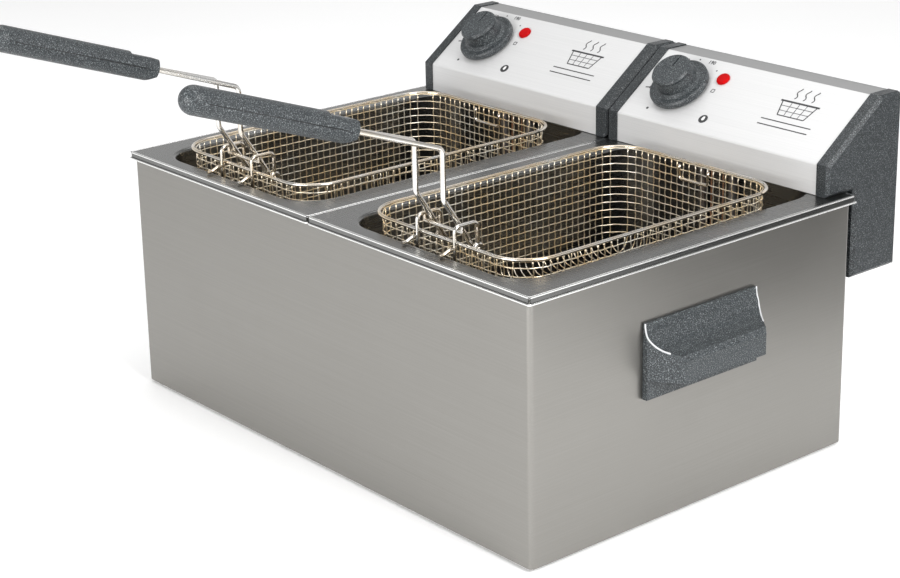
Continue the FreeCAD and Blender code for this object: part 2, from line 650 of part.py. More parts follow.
def make_basket_rim(name, x):
    """Closed ring of round wire at the basket's top edge."""
    half = number(RIM_HALF)
    front = number(RIM_FRONT)
    rear = number(RIM_REAR)
    level = number(RIM_Z)
    radius = number("rim_radius")
    bend = number("basket_corner")
    corners = [(half, front, -90), (half, rear, 0), (-half, rear, 90), (-half, front, 180)]
    ring = []
    for corner_x, corner_y, start in corners:
        centre_x = corner_x - math.copysign(bend, corner_x)
        centre_y = corner_y + (bend if corner_y == front else -bend)
        centre = FreeCAD.Vector(centre_x, centre_y, level)
        quarter = Part.makeTorus(bend, radius, FreeCAD.Vector(), Z_AXIS, 0, 360, 90)
        quarter.Placement = FreeCAD.Placement(centre, FreeCAD.Rotation(Z_AXIS, start))
        ring.append(quarter)
    long_run = FreeCAD.Vector(0, rear - front - 2 * bend, 0)
    short_run = FreeCAD.Vector(2 * (half - bend), 0, 0)
    for side in (-half, half):
        ring.append(rod(FreeCAD.Vector(side, front + bend, level), long_run, radius))
    for line in (front, rear):
        ring.append(rod(FreeCAD.Vector(bend - half, line, level), short_run, radius))
    add_piece(name + "_basket_rim", ring[0].fuse(ring[1:]).removeSplitter(), x=x)


BRACKET_Y = "(basket_front - bracket_radius - fit_gap)"
BRACKET_X = "(leg_half_gap + wire_radius + bracket_radius + pivot_clear)"
BRACKET_Z = f"({RIM_Z} + bracket_rise)"
EYE_RADIUS = "(wire_radius + shaft_gap + bracket_radius + weld_step)"


def make_bracket(name, x):
    """Front frame of bent wire: hooks on the pan, a stop bar and two pivot eyes."""
    thin = number("bracket_radius")
    ring = number(EYE_RADIUS)
    # joined wires differ a little in radius, so that no two equal cylinders cross
    step = number("weld_step")
    bend = number("bracket_bend")
    hook_z = f"({FLANGE_TOP} + seat_gap + bracket_radius)"
    pieces = []
    for side in (-1, 1):
        across = f"{side} * {BRACKET_X}"
        low = vector(across, BRACKET_Y, f"{RIM_Z} - bracket_fall")
        high = vector(across, BRACKET_Y, BRACKET_Z)
        back = vector(across, "pivot_y", BRACKET_Z)
        eye_top = vector(across, "pivot_y", f"{PIVOT_Z} + {EYE_RADIUS}")
        pieces.append(tube([low, high, back, eye_top], thin, [bend, bend]))
        eye = Part.makeTorus(ring, thin + step, vector(across, "pivot_y", PIVOT_Z), X_AXIS)
        pieces.append(eye)
        hook_top = f"{RIM_Z} - hook_drop"
        root = vector(across, BRACKET_Y, hook_top)
        crest = vector(across, f"{BRACKET_Y} - hook_crest", hook_top)
        rest = vector(across, f"{BRACKET_Y} - hook_reach", hook_z)
        tip = vector(across, f"{BRACKET_Y} - hook_reach - hook_tip", hook_z)
        hook_bend = number("hook_bend")
        pieces.append(tube([root, crest, rest, tip], thin - step, [hook_bend, hook_bend]))
    start = stop_bar_place(-1)
    pieces.append(rod(start, stop_bar_place(1) - start, thin - step))
    for side in (-1, 1):
        below = stop_bar_place(side)
        above = FreeCAD.Vector(below.x, below.y, number(BRACKET_Z))
        pieces.append(rod(below, above - below, thin - 2 * step))
    add_piece(name + "_basket_bracket", pieces[0].fuse(pieces[1:]).removeSplitter(), x=x)


def stop_bar_place(side):
    """End of the bar that the legs lean on, just in front of them."""
    knee = vector("0", "knee_y", KNEE_Z)
    pivot = vector("0", "pivot_y", PIVOT_Z)
    along = (pivot - knee).normalize()
    level = knee + along * ((number(f"{BRACKET_Z} - stop_drop") - knee.z) / along.z)
    away = FreeCAD.Vector(0, along.z, -along.y)
    centre = level + away * number("wire_radius + bracket_radius + seat_gap")
    return FreeCAD.Vector(side * number(BRACKET_X), centre.y, centre.z)


def make_handle_wire(name, x):
    """Two bent wires from the grip to the pivot eyes."""
    wires = []
    for side in (-1, 1):
        inner = f"{side} * neck_half_gap"
        outer = f"{side} * leg_half_gap"
        tilt_y = f"(knee_y - (neck_length + {{}}) * cos(handle_tilt))"
        tilt_z = f"({ELBOW_Z} + (neck_length + {{}}) * sin(handle_tilt))"
        depth = "slot_depth - slot_end_gap"
        points = [vector(inner, tilt_y.format(depth), tilt_z.format(depth)),
                  vector(inner, tilt_y.format("-neck_lead"), tilt_z.format("-neck_lead")),
                  vector(outer, "knee_y", ELBOW_Z),
                  vector(outer, "knee_y", KNEE_Z),
                  vector(outer, "pivot_y", PIVOT_Z),
                  vector(f"{side} * ({BRACKET_X} + bracket_radius + pivot_clear)", "pivot_y", PIVOT_Z)]
        bends = [number(word) for word in ("neck_bend", "elbow_bend", "knee_bend", "pivot_bend")]
        wires.append(tube(points, number("wire_radius"), bends))
    add_piece(name + "_handle_wire", Part.makeCompound(wires), x=x)


def make_handle_grip(name, x):
    """Round plastic grip: domed at the free end, stepped and chamfered at the wire end."""
    body = new_body(name + "_handle_grip", x=x, y=HANDLE_Y, z=HANDLE_Z,
                    axis=X_AXIS, angle="90 - handle_tilt")
    add(body, "XY", "0", "handle_length - handle_radius", [circle("0", "0", "handle_radius")])
    dome = sketch_on(body, "XZ", "0", [])
    end = number("handle_length - handle_radius")
    radius = number("handle_radius")
    middle = FreeCAD.Vector(0, end, 0)
    dome.addGeometry(Part.LineSegment(middle, FreeCAD.Vector(radius, end, 0)), False)
    arc = Part.ArcOfCircle(Part.Circle(middle, Z_AXIS, radius), 0, math.pi / 2)
    dome.addGeometry(arc, False)
    dome.addGeometry(Part.LineSegment(FreeCAD.Vector(0, end + radius, 0), middle), False)
    dome.addConstraint(Sketcher.Constraint("Coincident", 0, 2, 1, 1))
    dome.addConstraint(Sketcher.Constraint("Coincident", 1, 2, 2, 1))
    dome.addConstraint(Sketcher.Constraint("Coincident", 2, 2, 0, 1))
    dome.addConstraint(Sketcher.Constraint("Coincident", 1, 3, 0, 1))
    dome.addConstraint(Sketcher.Constraint("PointOnObject", 0, 1, -2))
    dome.addConstraint(Sketcher.Constraint("PointOnObject", 2, 1, -2))
    dome.addConstraint(Sketcher.Constraint("Horizontal", 0))
    tie(dome, "DistanceY", 0, 1, "handle_length - handle_radius")
    index = dome.addConstraint(Sketcher.Constraint("Radius", 1, radius))
    dome.renameConstraint(index, "dome")
    dome.setExpression("Constraints.dome", bound("handle_radius"))
    turn = body.newObject("PartDesign::Revolution", body.Label + "_dome")
    turn.Profile = dome
    turn.ReferenceAxis = (dome, ["V_Axis"])
    turn.Angle = 360
    doc.recompute()
    wide = "(handle_radius + 1)"
    step = rect(minus(wide), "handle_radius - handle_step", wide, wide)
    cut(body, "XY", "0", "handle_step_length", [step])
    chamfer = [("-handle_radius - 1", "-1"), ("-handle_radius + end_chamfer", "-1"),
               ("-handle_radius - 1", "end_chamfer_length")]
    cut(body, "YZ", minus(wide), wide, [chamfer])
    slot_x = "(neck_half_gap + wire_radius + fit_gap)"
    slot_y = "(wire_radius + fit_gap)"
    cut(body, "XY", "0", "slot_depth", [rect(minus(slot_x), minus(slot_y), slot_x, slot_y)])


# ---------------------------------------------------------------- control head

def make_cheek(label, x, low, high, outer):
    """Plastic side plate whose lower front is stepped over the pan's flange."""
    body = new_body(label, x=x)
    profile = [(HEAD_FRONT, HEAD_SEAT), (HEAD_FRONT, BEND_Z), (TOP_Y, TOP_Z), (HEAD_REAR, TOP_Z),
               (HEAD_REAR, HANG_Z), (HANG_Y, HANG_Z), (HANG_Y, HEAD_SEAT)]
    add(body, "YZ", low, high, [profile])
    face = number(outer)
    rear = number(HEAD_REAR) - NEAR

    def bevelled(edge):
        on_face = all(abs(point.x - face) < NEAR for point in ends(edge))
        return on_face and any(point.y < rear for point in ends(edge))

    round_off(body, [bevelled], "cheek_bevel", "Chamfer")
    middle = f"(({low}) + ({high})) / 2"
    holes = [circle(middle, z, "screw_radius + shaft_gap") for z in COVER_SCREW_LEVELS]
    cut(body, "XZ", f"{HEAD_REAR} - cover_screw_depth", HEAD_REAR, holes)


COVER_SCREW_LEVELS = (f"({HANG_Z} + cover_screw_inset)", f"({TOP_Z} - cover_screw_inset)")


def make_panel(name, x):
    """Folded steel front: an upright face, the sloping control face and the flat top."""
    body = new_body(name + "_control_panel", x=x)
    outer = outline("panel_inset")
    inner = outline(PANEL_UNDER)
    add(body, "YZ", minus(PANEL_HALF), PANEL_HALF, [outer + inner[::-1]])

    def along_bend(points):
        places = [vector("0", y, z) for y, z in points]

        def chooser(edge):
            touching = [place_ for place_ in places
                        if all(math.hypot(p.y - place_.y, p.z - place_.z) < NEAR for p in ends(edge))]
            return bool(touching)
        return chooser

    round_off(body, [along_bend(outer[1:3])], "bend_round")
    round_off(body, [along_bend(inner[1:3])], "bend_round - head_sheet")
    before = body.Shape.Volume
    sketch = sketch_on(body, "slope", "0", [circle("knob_x", "knob_s", "neck_radius + fit_gap"),
                                           circle("lamp_x", "lamp_s", "lamp_neck + fit_gap")])
    holes = body.newObject("PartDesign::Pocket", body.Label + "_holes")
    holes.Profile = sketch
    holes.setExpression("Length", bound(f"{PANEL_UNDER} + 1"))
    doc.recompute()
    if not body.Shape.Volume < before - NEAR:
        raise RuntimeError("the control panel has no holes")


def riser_holes(play):
    """Holes for the element's risers, with some play, and for the sensors' capillaries."""
    holes = []
    for side in (-1, 1):
        holes.append(circle(f"{side} * element_inner", RISER_Y, f"element_radius + {play}"))
        holes.append(circle(f"{side} * bulb_half_gap", RISER_Y, "capillary_radius + fit_gap"))
    return holes


def make_head_base(name, x):
    """Folded tray: it sits on the pan's flange and hangs down behind the housing."""
    body = new_body(name + "_head_base", x=x)
    front = f"({HEAD_FRONT} + {PANEL_UNDER} + fit_gap)"
    profile = [(front, HEAD_SEAT), (HANG_Y, HEAD_SEAT), (HANG_Y, HANG_Z), (HEAD_REAR, HANG_Z),
               (HEAD_REAR, f"{HANG_Z} + head_sheet"), (WALL_INNER, f"{HANG_Z} + head_sheet"),
               (WALL_INNER, BASE_INNER), (front, BASE_INNER)]
    add(body, "YZ", minus(PANEL_HALF), PANEL_HALF, [profile])
    cut(body, "XY", HEAD_SEAT, BASE_INNER, riser_holes("fit_gap"))


def make_rear_cover(name, x):
    """Steel rear wall with louvre slots, the cord inlet and the reset hole."""
    body = new_body(name + "_rear_cover", x=x)
    half = f"({HEAD_HALF} - cover_margin)"
    inside = f"({HEAD_REAR} + fit_gap)"
    plate = rect(minus(half), f"{HANG_Z} + cover_margin", half, f"{TOP_Z} - cover_margin")
    add(body, "XZ", inside, COVER_OUT, [plate])
    inset = "(head_width / 2 - cheek / 2)"
    holes = [circle(f"{side} * {inset}", z, "screw_radius + fit_gap")
             for side in (-1, 1) for z in COVER_SCREW_LEVELS]
    holes.append(circle("gland_x", "gland_z", "gland_radius - gland_step + fit_gap"))
    holes.append(circle("reset_x", "reset_z", "reset_radius + fit_gap"))
    cut(body, "XZ", inside, COVER_OUT, holes)
    start = "(-(vent_count - 1) * vent_pitch / 2)"
    slot = cut(body, "XZ", inside, COVER_OUT,
               [rect(f"{start} - vent_width / 2", f"{TOP_Z} - louvre_low",
                     f"{start} + vent_width / 2", f"{TOP_Z} - louvre_high")])
    row = body.newObject("PartDesign::LinearPattern", "louvre_row")
    row.Originals = [slot]
    x_axis = next(item for item in body.Origin.OriginFeatures if item.Role == "X_Axis")
    row.Direction = (x_axis, [""])
    row.setExpression("Length", bound("(vent_count - 1) * vent_pitch"))
    row.setExpression("Occurrences", bound("vent_count"))
    body.Tip = row
    doc.recompute()


def make_cover_screws(name, x):
    """Four screws through the rear cover into the cheeks."""
    screws = []
    start = f"{COVER_OUT} + shaft_gap + screw_head_height"
    for side in (-1, 1):
        for level in COVER_SCREW_LEVELS:
            at = vector(f"{side} * (head_width / 2 - cheek / 2)", start, level)
            length = number("cover_sheet + cover_screw_depth - cover_margin")
            screws.append(screw(at, FreeCAD.Vector(0, -1, 0), length))
    add_piece(name + "_cover_screws", Part.makeCompound(screws), x=x)


def make_element(name, x):
    """Tubular heating element: two risers and a flat serpentine near the pan's floor."""
    inner = "element_inner"
    middle = "(element_inner + element_pitch)"
    outer = "(element_inner + 2 * element_pitch)"
    top = f"{BASE_INNER} + block_height + riser_over"
    plan = [(inner, RISER_Y, top), (inner, RISER_Y, ELEMENT_Z), (inner, "element_turn", ELEMENT_Z),
            (middle, "element_turn", ELEMENT_Z), (middle, "element_back", ELEMENT_Z),
            (outer, "element_back", ELEMENT_Z), (outer, "element_front", ELEMENT_Z)]
    right = [vector(px, py, pz) for px, py, pz in plan]
    left = [FreeCAD.Vector(-point.x, point.y, point.z) for point in right]
    turn = number("element_pitch") / 2 - 0.01
    bends = [number("riser_bend")] + [turn] * 4 + [number("cross_bend")]
    solid = tube(right + left[::-1], number("element_radius"), bends + bends[::-1])
    add_piece(name + "_heating_element", solid, x=x)


def make_element_block(name, x):
    """Clamp block that holds the element's risers on the base tray."""
    body = new_body(name + "_element_block", x=x)
    half = "(block_width / 2)"
    low = f"({BASE_INNER} + shaft_gap)"
    high = f"({BASE_INNER} + block_height)"
    add(body, "XY", low, high,
        [rect(minus(half), f"{RISER_Y} - block_front", half, f"{RISER_Y} + block_rear")])
    cut(body, "XY", low, high, riser_holes("shaft_gap"))


BULB_Z = f"({ELEMENT_Z} + element_radius + 2 * shaft_gap + saddle_sheet + bulb_radius)"


def make_sensor_bulbs(name, x):
    """Two liquid-filled sensor bulbs with their capillaries."""
    bulbs = []
    for side in (-1, 1):
        across = f"{side} * bulb_half_gap"
        front = vector(across, "bulb_rear - bulb_length", BULB_Z)
        bulb = rod(front, FreeCAD.Vector(0, number("bulb_length"), 0), number("bulb_radius"))
        line = [vector(across, "bulb_rear - 1", BULB_Z), vector(across, RISER_Y, BULB_Z),
                vector(across, RISER_Y, f"{BASE_INNER} + block_height + capillary_over")]
        capillary = tube(line, number("capillary_radius"), [number("capillary_bend")])
        bulbs.append(bulb.fuse(capillary).removeSplitter())
    add_piece(name + "_sensor_bulbs", Part.makeCompound(bulbs), x=x)


def make_bulb_saddles(name, x):
    """Two strips across the element's inner runs that carry the bulbs."""
    low = f"{ELEMENT_Z} + element_radius + shaft_gap"
    half = number("element_inner + element_radius")
    strips = []
    for centre in ("bulb_rear - saddle_inset", "bulb_rear - bulb_length + saddle_inset"):
        y = number(f"{centre} - saddle_width / 2")
        corner = FreeCAD.Vector(-half, y, number(low))
        strips.append(Part.makeBox(2 * half, number("saddle_width"), number("saddle_sheet"), corner))
    add_piece(name + "_bulb_saddles", Part.makeCompound(strips), x=x)


def slope_body(label, x, across, along):
    """A body whose own +Z leaves the sloping face, at a point on that face."""
    y = f"({HEAD_FRONT} + {along} * cos(slope_angle))"
    z = f"({BEND_Z} + {along} * sin(slope_angle))"
    return new_body(label, x=f"{x} + {across}", y=y, z=z, axis=X_AXIS, angle="slope_angle")


def make_thermostat(name, x):
    """Capillary thermostat behind the panel, with its neck through the panel's hole."""
    body = slope_body(name + "_thermostat", x, "knob_x", "knob_s")
    half = "(thermostat_size / 2)"
    top = f"(-{PANEL_UNDER} - shaft_gap)"
    add(body, "XY", f"{top} - thermostat_depth", top, [rect(minus(half), minus(half), half, half)])
    add(body, "XY", top, "0", [circle("0", "0", "neck_radius")])
    cut(body, "XY", "-shaft_depth - 1", "shaft_gap", [circle("0", "0", "shaft_radius + shaft_gap")])


def make_knob_shaft(name, x):
    """Thermostat spindle that the knob is pushed onto."""
    body = slope_body(name + "_knob_shaft", x, "knob_x", "knob_s")
    add(body, "XY", "-shaft_depth", "knob_height - shaft_short", [circle("0", "0", "shaft_radius")])


KNOB_LOW = "(fit_gap + knob_lift)"


def make_knob(name, x):
    """Round knob: a wide base disc, a waisted cap and a pointer groove on top."""
    body = slope_body(name + "_knob", x, "knob_x", "knob_s")
    half_turn = [("0", KNOB_LOW), ("knob_radius - knob_edge", KNOB_LOW),
                 ("knob_radius", f"{KNOB_LOW} + knob_edge"),
                 ("knob_radius", "knob_base - knob_round"), ("knob_radius - knob_round", "knob_base"),
                 ("knob_cap_radius + cap_flare", "knob_base"),
                 ("knob_cap_radius", "knob_base + cap_foot"),
                 ("knob_cap_radius - cap_waist", "knob_height - cap_shoulder"),
                 ("knob_cap_radius", "knob_height - cap_crown"),
                 ("knob_cap_radius - cap_edge", "knob_height"), ("0", "knob_height")]
    sketch = sketch_on(body, "XZ", "0", [half_turn])
    turn = body.newObject("PartDesign::Revolution", body.Label + "_turn")
    turn.Profile = sketch
    turn.ReferenceAxis = (sketch, ["V_Axis"])
    turn.Angle = 360
    doc.recompute()
    groove = rect("-mark_half", "mark_inner", "mark_half", "knob_cap_radius + 1")
    cut(body, "XY", "knob_height - mark_depth", "knob_height + 1", [groove])
    cut(body, "XY", "-1", "knob_height - bore_short", [circle("0", "0", "shaft_radius + shaft_gap")])


def make_lamp(name, x):
    """Neon pilot lamp: a domed lens in the panel's hole and its holder behind."""
    lens = slope_body(name + "_lamp_lens", x, "lamp_x", "lamp_s")
    seat = "(-panel_inset + shaft_gap)"
    add(lens, "XY", seat, "lamp_rise - panel_inset", [circle("0", "0", "lamp_radius")])
    round_off(lens, [flat_at("lamp_rise - panel_inset")], "lamp_round")
    add(lens, "XY", f"-{PANEL_UNDER}", seat, [circle("0", "0", "lamp_neck")])
    holder = slope_body(name + "_lamp_holder", x, "lamp_x", "lamp_s")
    top = f"(-{PANEL_UNDER} - shaft_gap)"
    add(holder, "XY", f"{top} - holder_flange", top, [circle("0", "0", "lamp_radius + holder_grow")])
    add(holder, "XY", f"{top} - lamp_body", f"{top} - holder_flange",
        [circle("0", "0", "lamp_neck + holder_play")])


def make_safety_cutout(name, x):
    """Over-temperature cut-out on the rear cover and its reset button."""
    inside = f"({HEAD_REAR} + fit_gap - shaft_gap)"
    body = new_body(name + "_safety_cutout", x=x)
    add(body, "XZ", f"{inside} - cutout_depth", inside, [circle("reset_x", "reset_z", "cutout_radius")])
    bore = circle("reset_x", "reset_z", "reset_radius + shaft_gap")
    cut(body, "XZ", f"{inside} - cutout_bore", inside, [bore])
    button = new_body(name + "_reset_button", x=x)
    tip = f"({COVER_OUT} + reset_out)"
    add(button, "XZ", f"{inside} - reset_in", tip, [circle("reset_x", "reset_z", "reset_radius")])
    round_off(button, [facing_rear(tip)], "reset_round")


def make_cord_gland(name, x):
    """Collar round the cord inlet."""
    body = new_body(name + "_cord_gland", x=x)
    face = f"({COVER_OUT} + shaft_gap)"
    inside = f"({HEAD_REAR} - gland_in)"
    add(body, "XZ", inside, face, [circle("gland_x", "gland_z", "gland_radius - gland_step")])
    add(body, "XZ", face, REAR_END, [circle("gland_x", "gland_z", "gland_radius")])
    round_off(body, [facing_rear(REAR_END)], "gland_step")
    cut(body, "XZ", inside, REAR_END, [circle("gland_x", "gland_z", "gland_bore")])


def make_terminal_block(name, x):
    """Six-way terminal block on the hanging wall."""
    body = new_body(name + "_terminal_block", x=x)
    half = "(terminal_width / 2)"
    low = f"({HANG_Z} + terminal_lift)"
    near = f"({WALL_INNER} + shaft_gap)"
    far = f"({near} + terminal_depth)"
    add(body, "XZ", near, far, [rect(minus(half), low, half, f"{low} + terminal_height")])
    ways = SIZES["terminal_ways"]
    holes = [circle(f"{step} * terminal_width / (2 * terminal_ways)", f"{low} + terminal_height / 2",
                    "terminal_hole")
             for step in range(1 - ways, ways, 2)]
    cut(body, "XZ", f"{far} - terminal_bore", far, holes)


def make_seat_switch(name, x):
    """Sealed magnetic switch that senses the head in its seat."""
    body = new_body(name + "_seat_switch", x=x)
    near = f"({WALL_INNER} + shaft_gap)"
    far = f"({near} + switch_depth)"
    low = f"({HANG_Z} + switch_lift)"
    left = "(reset_x - switch_offset)"
    add(body, "XZ", near, far, [rect(left, low, f"{left} + switch_width", f"{low} + switch_height")])
    round_off(body, [facing_rear(far)], "switch_round")


def make_side(name, sign):
    """Everything that one cooking well is made of."""
    pan_x = f"({sign} * {PAN_CENTRE})"
    head_x = f"({sign} * {HEAD_CENTRE})"
    for maker in (make_pan, make_basket_mesh, make_basket_rim, make_bracket, make_handle_wire,
                  make_handle_grip):
        maker(name, pan_x)
    inner_face = f"({HEAD_HALF} - cheek)"
    make_cheek(name + "_head_left_cheek", head_x, minus(HEAD_HALF), minus(inner_face), minus(HEAD_HALF))
    make_cheek(name + "_head_right_cheek", head_x, inner_face, HEAD_HALF, HEAD_HALF)
    for maker in (make_panel, make_head_base, make_rear_cover, make_cover_screws, make_element,
                  make_element_block, make_sensor_bulbs, make_bulb_saddles, make_thermostat,
                  make_knob_shaft, make_knob, make_lamp, make_safety_cutout, make_cord_gland,
                  make_terminal_block, make_seat_switch):
        maker(name, head_x)


def check_document():
    """Stop if any object failed or any piece is empty or broken."""
    for item in doc.Objects:
        if "Invalid" in item.State or "Error" in item.State:
            raise RuntimeError(f"{item.Label} failed: {item.State}")
    for item in parts:
        if item.Shape.isNull() or not item.Shape.isValid() or not item.Shape.Solids:
            raise RuntimeError(f"{item.Label} has no valid solid")


make_housing_shell()
make_base_plate()
make_feet()
make_centre_beam()
make_side_handle("right_side_handle", "0")
make_side_handle("left_side_handle", "180")
make_handle_screws()
make_side("left", -1)
make_side("right", 1)
doc.recompute()
check_document()

os.makedirs("parts", exist_ok=True)
for item in parts:
    item.Shape.exportStep(f"parts/{item.Label}.step")
    print(f"{item.Label}: {len(item.Shape.Solids)} solid, {item.Shape.Volume / 1000:.1f} cm3")
print(len(parts), "pieces")
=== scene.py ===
"""Looks of a twin deep fryer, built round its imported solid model.

Lengths are metres in the shared frame: X along the front, +Y to the rear, +Z up.
"""

import logging
import math
from dataclasses import dataclass, field
from enum import Enum
from typing import Callable, Iterable, Sequence

import bmesh
import bpy
from mathutils import Matrix, Vector


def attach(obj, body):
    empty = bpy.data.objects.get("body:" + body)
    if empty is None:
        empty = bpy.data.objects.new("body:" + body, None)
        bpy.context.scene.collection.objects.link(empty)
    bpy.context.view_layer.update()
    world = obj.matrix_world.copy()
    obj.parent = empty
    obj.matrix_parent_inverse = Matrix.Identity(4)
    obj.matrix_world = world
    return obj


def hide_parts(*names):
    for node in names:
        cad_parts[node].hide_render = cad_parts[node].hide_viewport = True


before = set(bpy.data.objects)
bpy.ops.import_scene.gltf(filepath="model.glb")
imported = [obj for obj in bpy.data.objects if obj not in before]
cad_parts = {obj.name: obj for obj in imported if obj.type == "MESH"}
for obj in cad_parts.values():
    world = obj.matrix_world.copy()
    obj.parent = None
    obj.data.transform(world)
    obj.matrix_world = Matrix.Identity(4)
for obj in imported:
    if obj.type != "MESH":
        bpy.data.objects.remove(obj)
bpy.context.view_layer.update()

LOG = logging.getLogger("fryer")
FRONT_Y = -0.1168466  # the housing's front wall
NOISE_LOW, NOISE_HIGH = 0.3, 0.7  # nearly all of a noise's values lie between these
STREAK_LENGTH = 5.0  # a scratch's repeats per metre along its own run
STREAK_STOPS = (0.32, 0.68)
# The second limit picks the upward faces that the panel's finish darkens as painted shade.
FACING_SIDEWAYS, UP_FACING_SHADE_LIMIT = 0.7, 0.97  # how nearly a face has to look that way
Point = Sequence[float]
Colour = tuple[float, float, float]


class Side(Enum):
    """The two halves of the fryer; the value is the sign of X."""

    LEFT = -1
    RIGHT = 1

    @property
    def word(self) -> str:
        """The half's name as node names spell it."""
        return self.name.lower()


class Grain(Enum):
    """Which way a brushed surface's scratches run."""

    ROUND_WALLS = "level lines that follow each wall"
    LENGTHWISE = "lines along Y"
    CROSSWISE = "lines along X"


# ------------------------------------------------------------------ finishes


class Graph:
    """A material's node tree with short ways to add to it."""

    def __init__(self, name: str) -> None:
        """Start a material with an empty Principled shader.

        Args:
            name: the material's name.
        """
        self.material = bpy.data.materials.new(name)
        self.material.use_nodes = True
        self.tree = self.material.node_tree
        self.shader = self.tree.nodes["Principled BSDF"]

    def node(self, kind: str, **settings: object) -> bpy.types.Node:
        """Add one node.

        Args:
            kind: the shader node's type.
            **settings: attributes to set on it.

        Returns:
            The new node.
        """
        made = self.tree.nodes.new(kind)
        for word, value in settings.items():
            setattr(made, word, value)
        return made

    def link(self, source: bpy.types.NodeSocket, target: bpy.types.NodeSocket) -> None:
        """Join an output to an input.

        Args:
            source: the output.
            target: the input.
        """
        self.tree.links.new(source, target)

    def fix(self, **values: object) -> None:
        """Set uniform values straight on the shader's sockets.

        Args:
            **values: socket names, with underscores for spaces, and their values.
        """
        for word, value in values.items():
            self.shader.inputs[word.replace("_", " ")].default_value = value

    def place(self, stretch: Point) -> bpy.types.NodeSocket:
        """Object coordinates scaled along each axis.

        Args:
            stretch: repeats per metre along X, Y and Z.

        Returns:
            The scaled coordinates.
        """
        where = self.node("ShaderNodeTexCoord")
        mapping = self.node("ShaderNodeMapping")
        mapping.inputs["Scale"].default_value = stretch
        self.link(where.outputs["Object"], mapping.inputs["Vector"])
        return mapping.outputs["Vector"]

    def noise(self, stretch: Point, detail: float = 3.0, rough: float = 0.55) -> bpy.types.NodeSocket:
        """Soft random values.

        Args:
            stretch: repeats per metre along each axis.
            detail: how many finer layers are added.
            rough: how strong the finer layers are.

        Returns:
            Values from 0 to 1.
        """
        texture = self.node("ShaderNodeTexNoise")
        texture.inputs["Scale"].default_value = 1.0
        texture.inputs["Detail"].default_value = detail
        texture.inputs["Roughness"].default_value = rough
        self.link(self.place(stretch), texture.inputs["Vector"])
        return texture.outputs["Fac"]

    def ramp(self, value: bpy.types.NodeSocket,
             stops: Iterable[tuple[float, Colour]]) -> bpy.types.NodeSocket:
        """Colours laid along a value.

        Args:
            value: what picks the colour.
            stops: pairs of place and colour, in order.

        Returns:
            The colour.
        """
        ramp = self.node("ShaderNodeValToRGB")
        band = ramp.color_ramp
        stops = list(stops)
        while len(band.elements) < len(stops):
            band.elements.new(0.5)
        for element, (place, colour) in zip(band.elements, stops):
            element.position = place
            element.color = (*colour, 1.0)
        self.link(value, ramp.inputs["Fac"])
        return ramp.outputs["Color"]

    def spread(self, value: bpy.types.NodeSocket, low: float, high: float) -> bpy.types.NodeSocket:
        """A noise's usual range stretched over another range.

        Args:
            value: the source.
            low: the result at the low end.
            high: the result at the high end.

        Returns:
            The stretched value.
        """
        change = self.node("ShaderNodeMapRange")
        change.inputs["From Min"].default_value = NOISE_LOW
        change.inputs["From Max"].default_value = NOISE_HIGH
        change.inputs["To Min"].default_value = low
        change.inputs["To Max"].default_value = high
        self.link(value, change.inputs["Value"])
        return change.outputs["Result"]

    def mix(self, share: bpy.types.NodeSocket, first: bpy.types.NodeSocket,
            second: bpy.types.NodeSocket) -> bpy.types.NodeSocket:
        """One value where the share is 0 and another where it is 1.

        Args:
            share: how much of the second is taken.
            first: the value at 0.
            second: the value at 1.

        Returns:
            The mixed value.
        """
        blend = self.node("ShaderNodeMix")
        self.link(share, blend.inputs["Factor"])
        self.link(first, blend.inputs["A"])
        self.link(second, blend.inputs["B"])
        return blend.outputs["Result"]

    def bump(self, height: bpy.types.NodeSocket, strength: float, depth: float) -> None:
        """Make fine relief from a height.

        Args:
            height: the height, from 0 to 1.
            strength: how strongly it shows.
            depth: the relief's depth in metres.
        """
        relief = self.node("ShaderNodeBump")
        relief.inputs["Strength"].default_value = strength
        relief.inputs["Distance"].default_value = depth
        self.link(height, relief.inputs["Height"])
        self.link(relief.outputs["Normal"], self.shader.inputs["Normal"])


def shade(colour: Colour, factor: float) -> Colour:
    """A colour made lighter or darker.

    Args:
        colour: the colour.
        factor: what each channel is multiplied by.

    Returns:
        The new colour, held below 1.
    """
    return tuple(min(channel * factor, 1.0) for channel in colour)


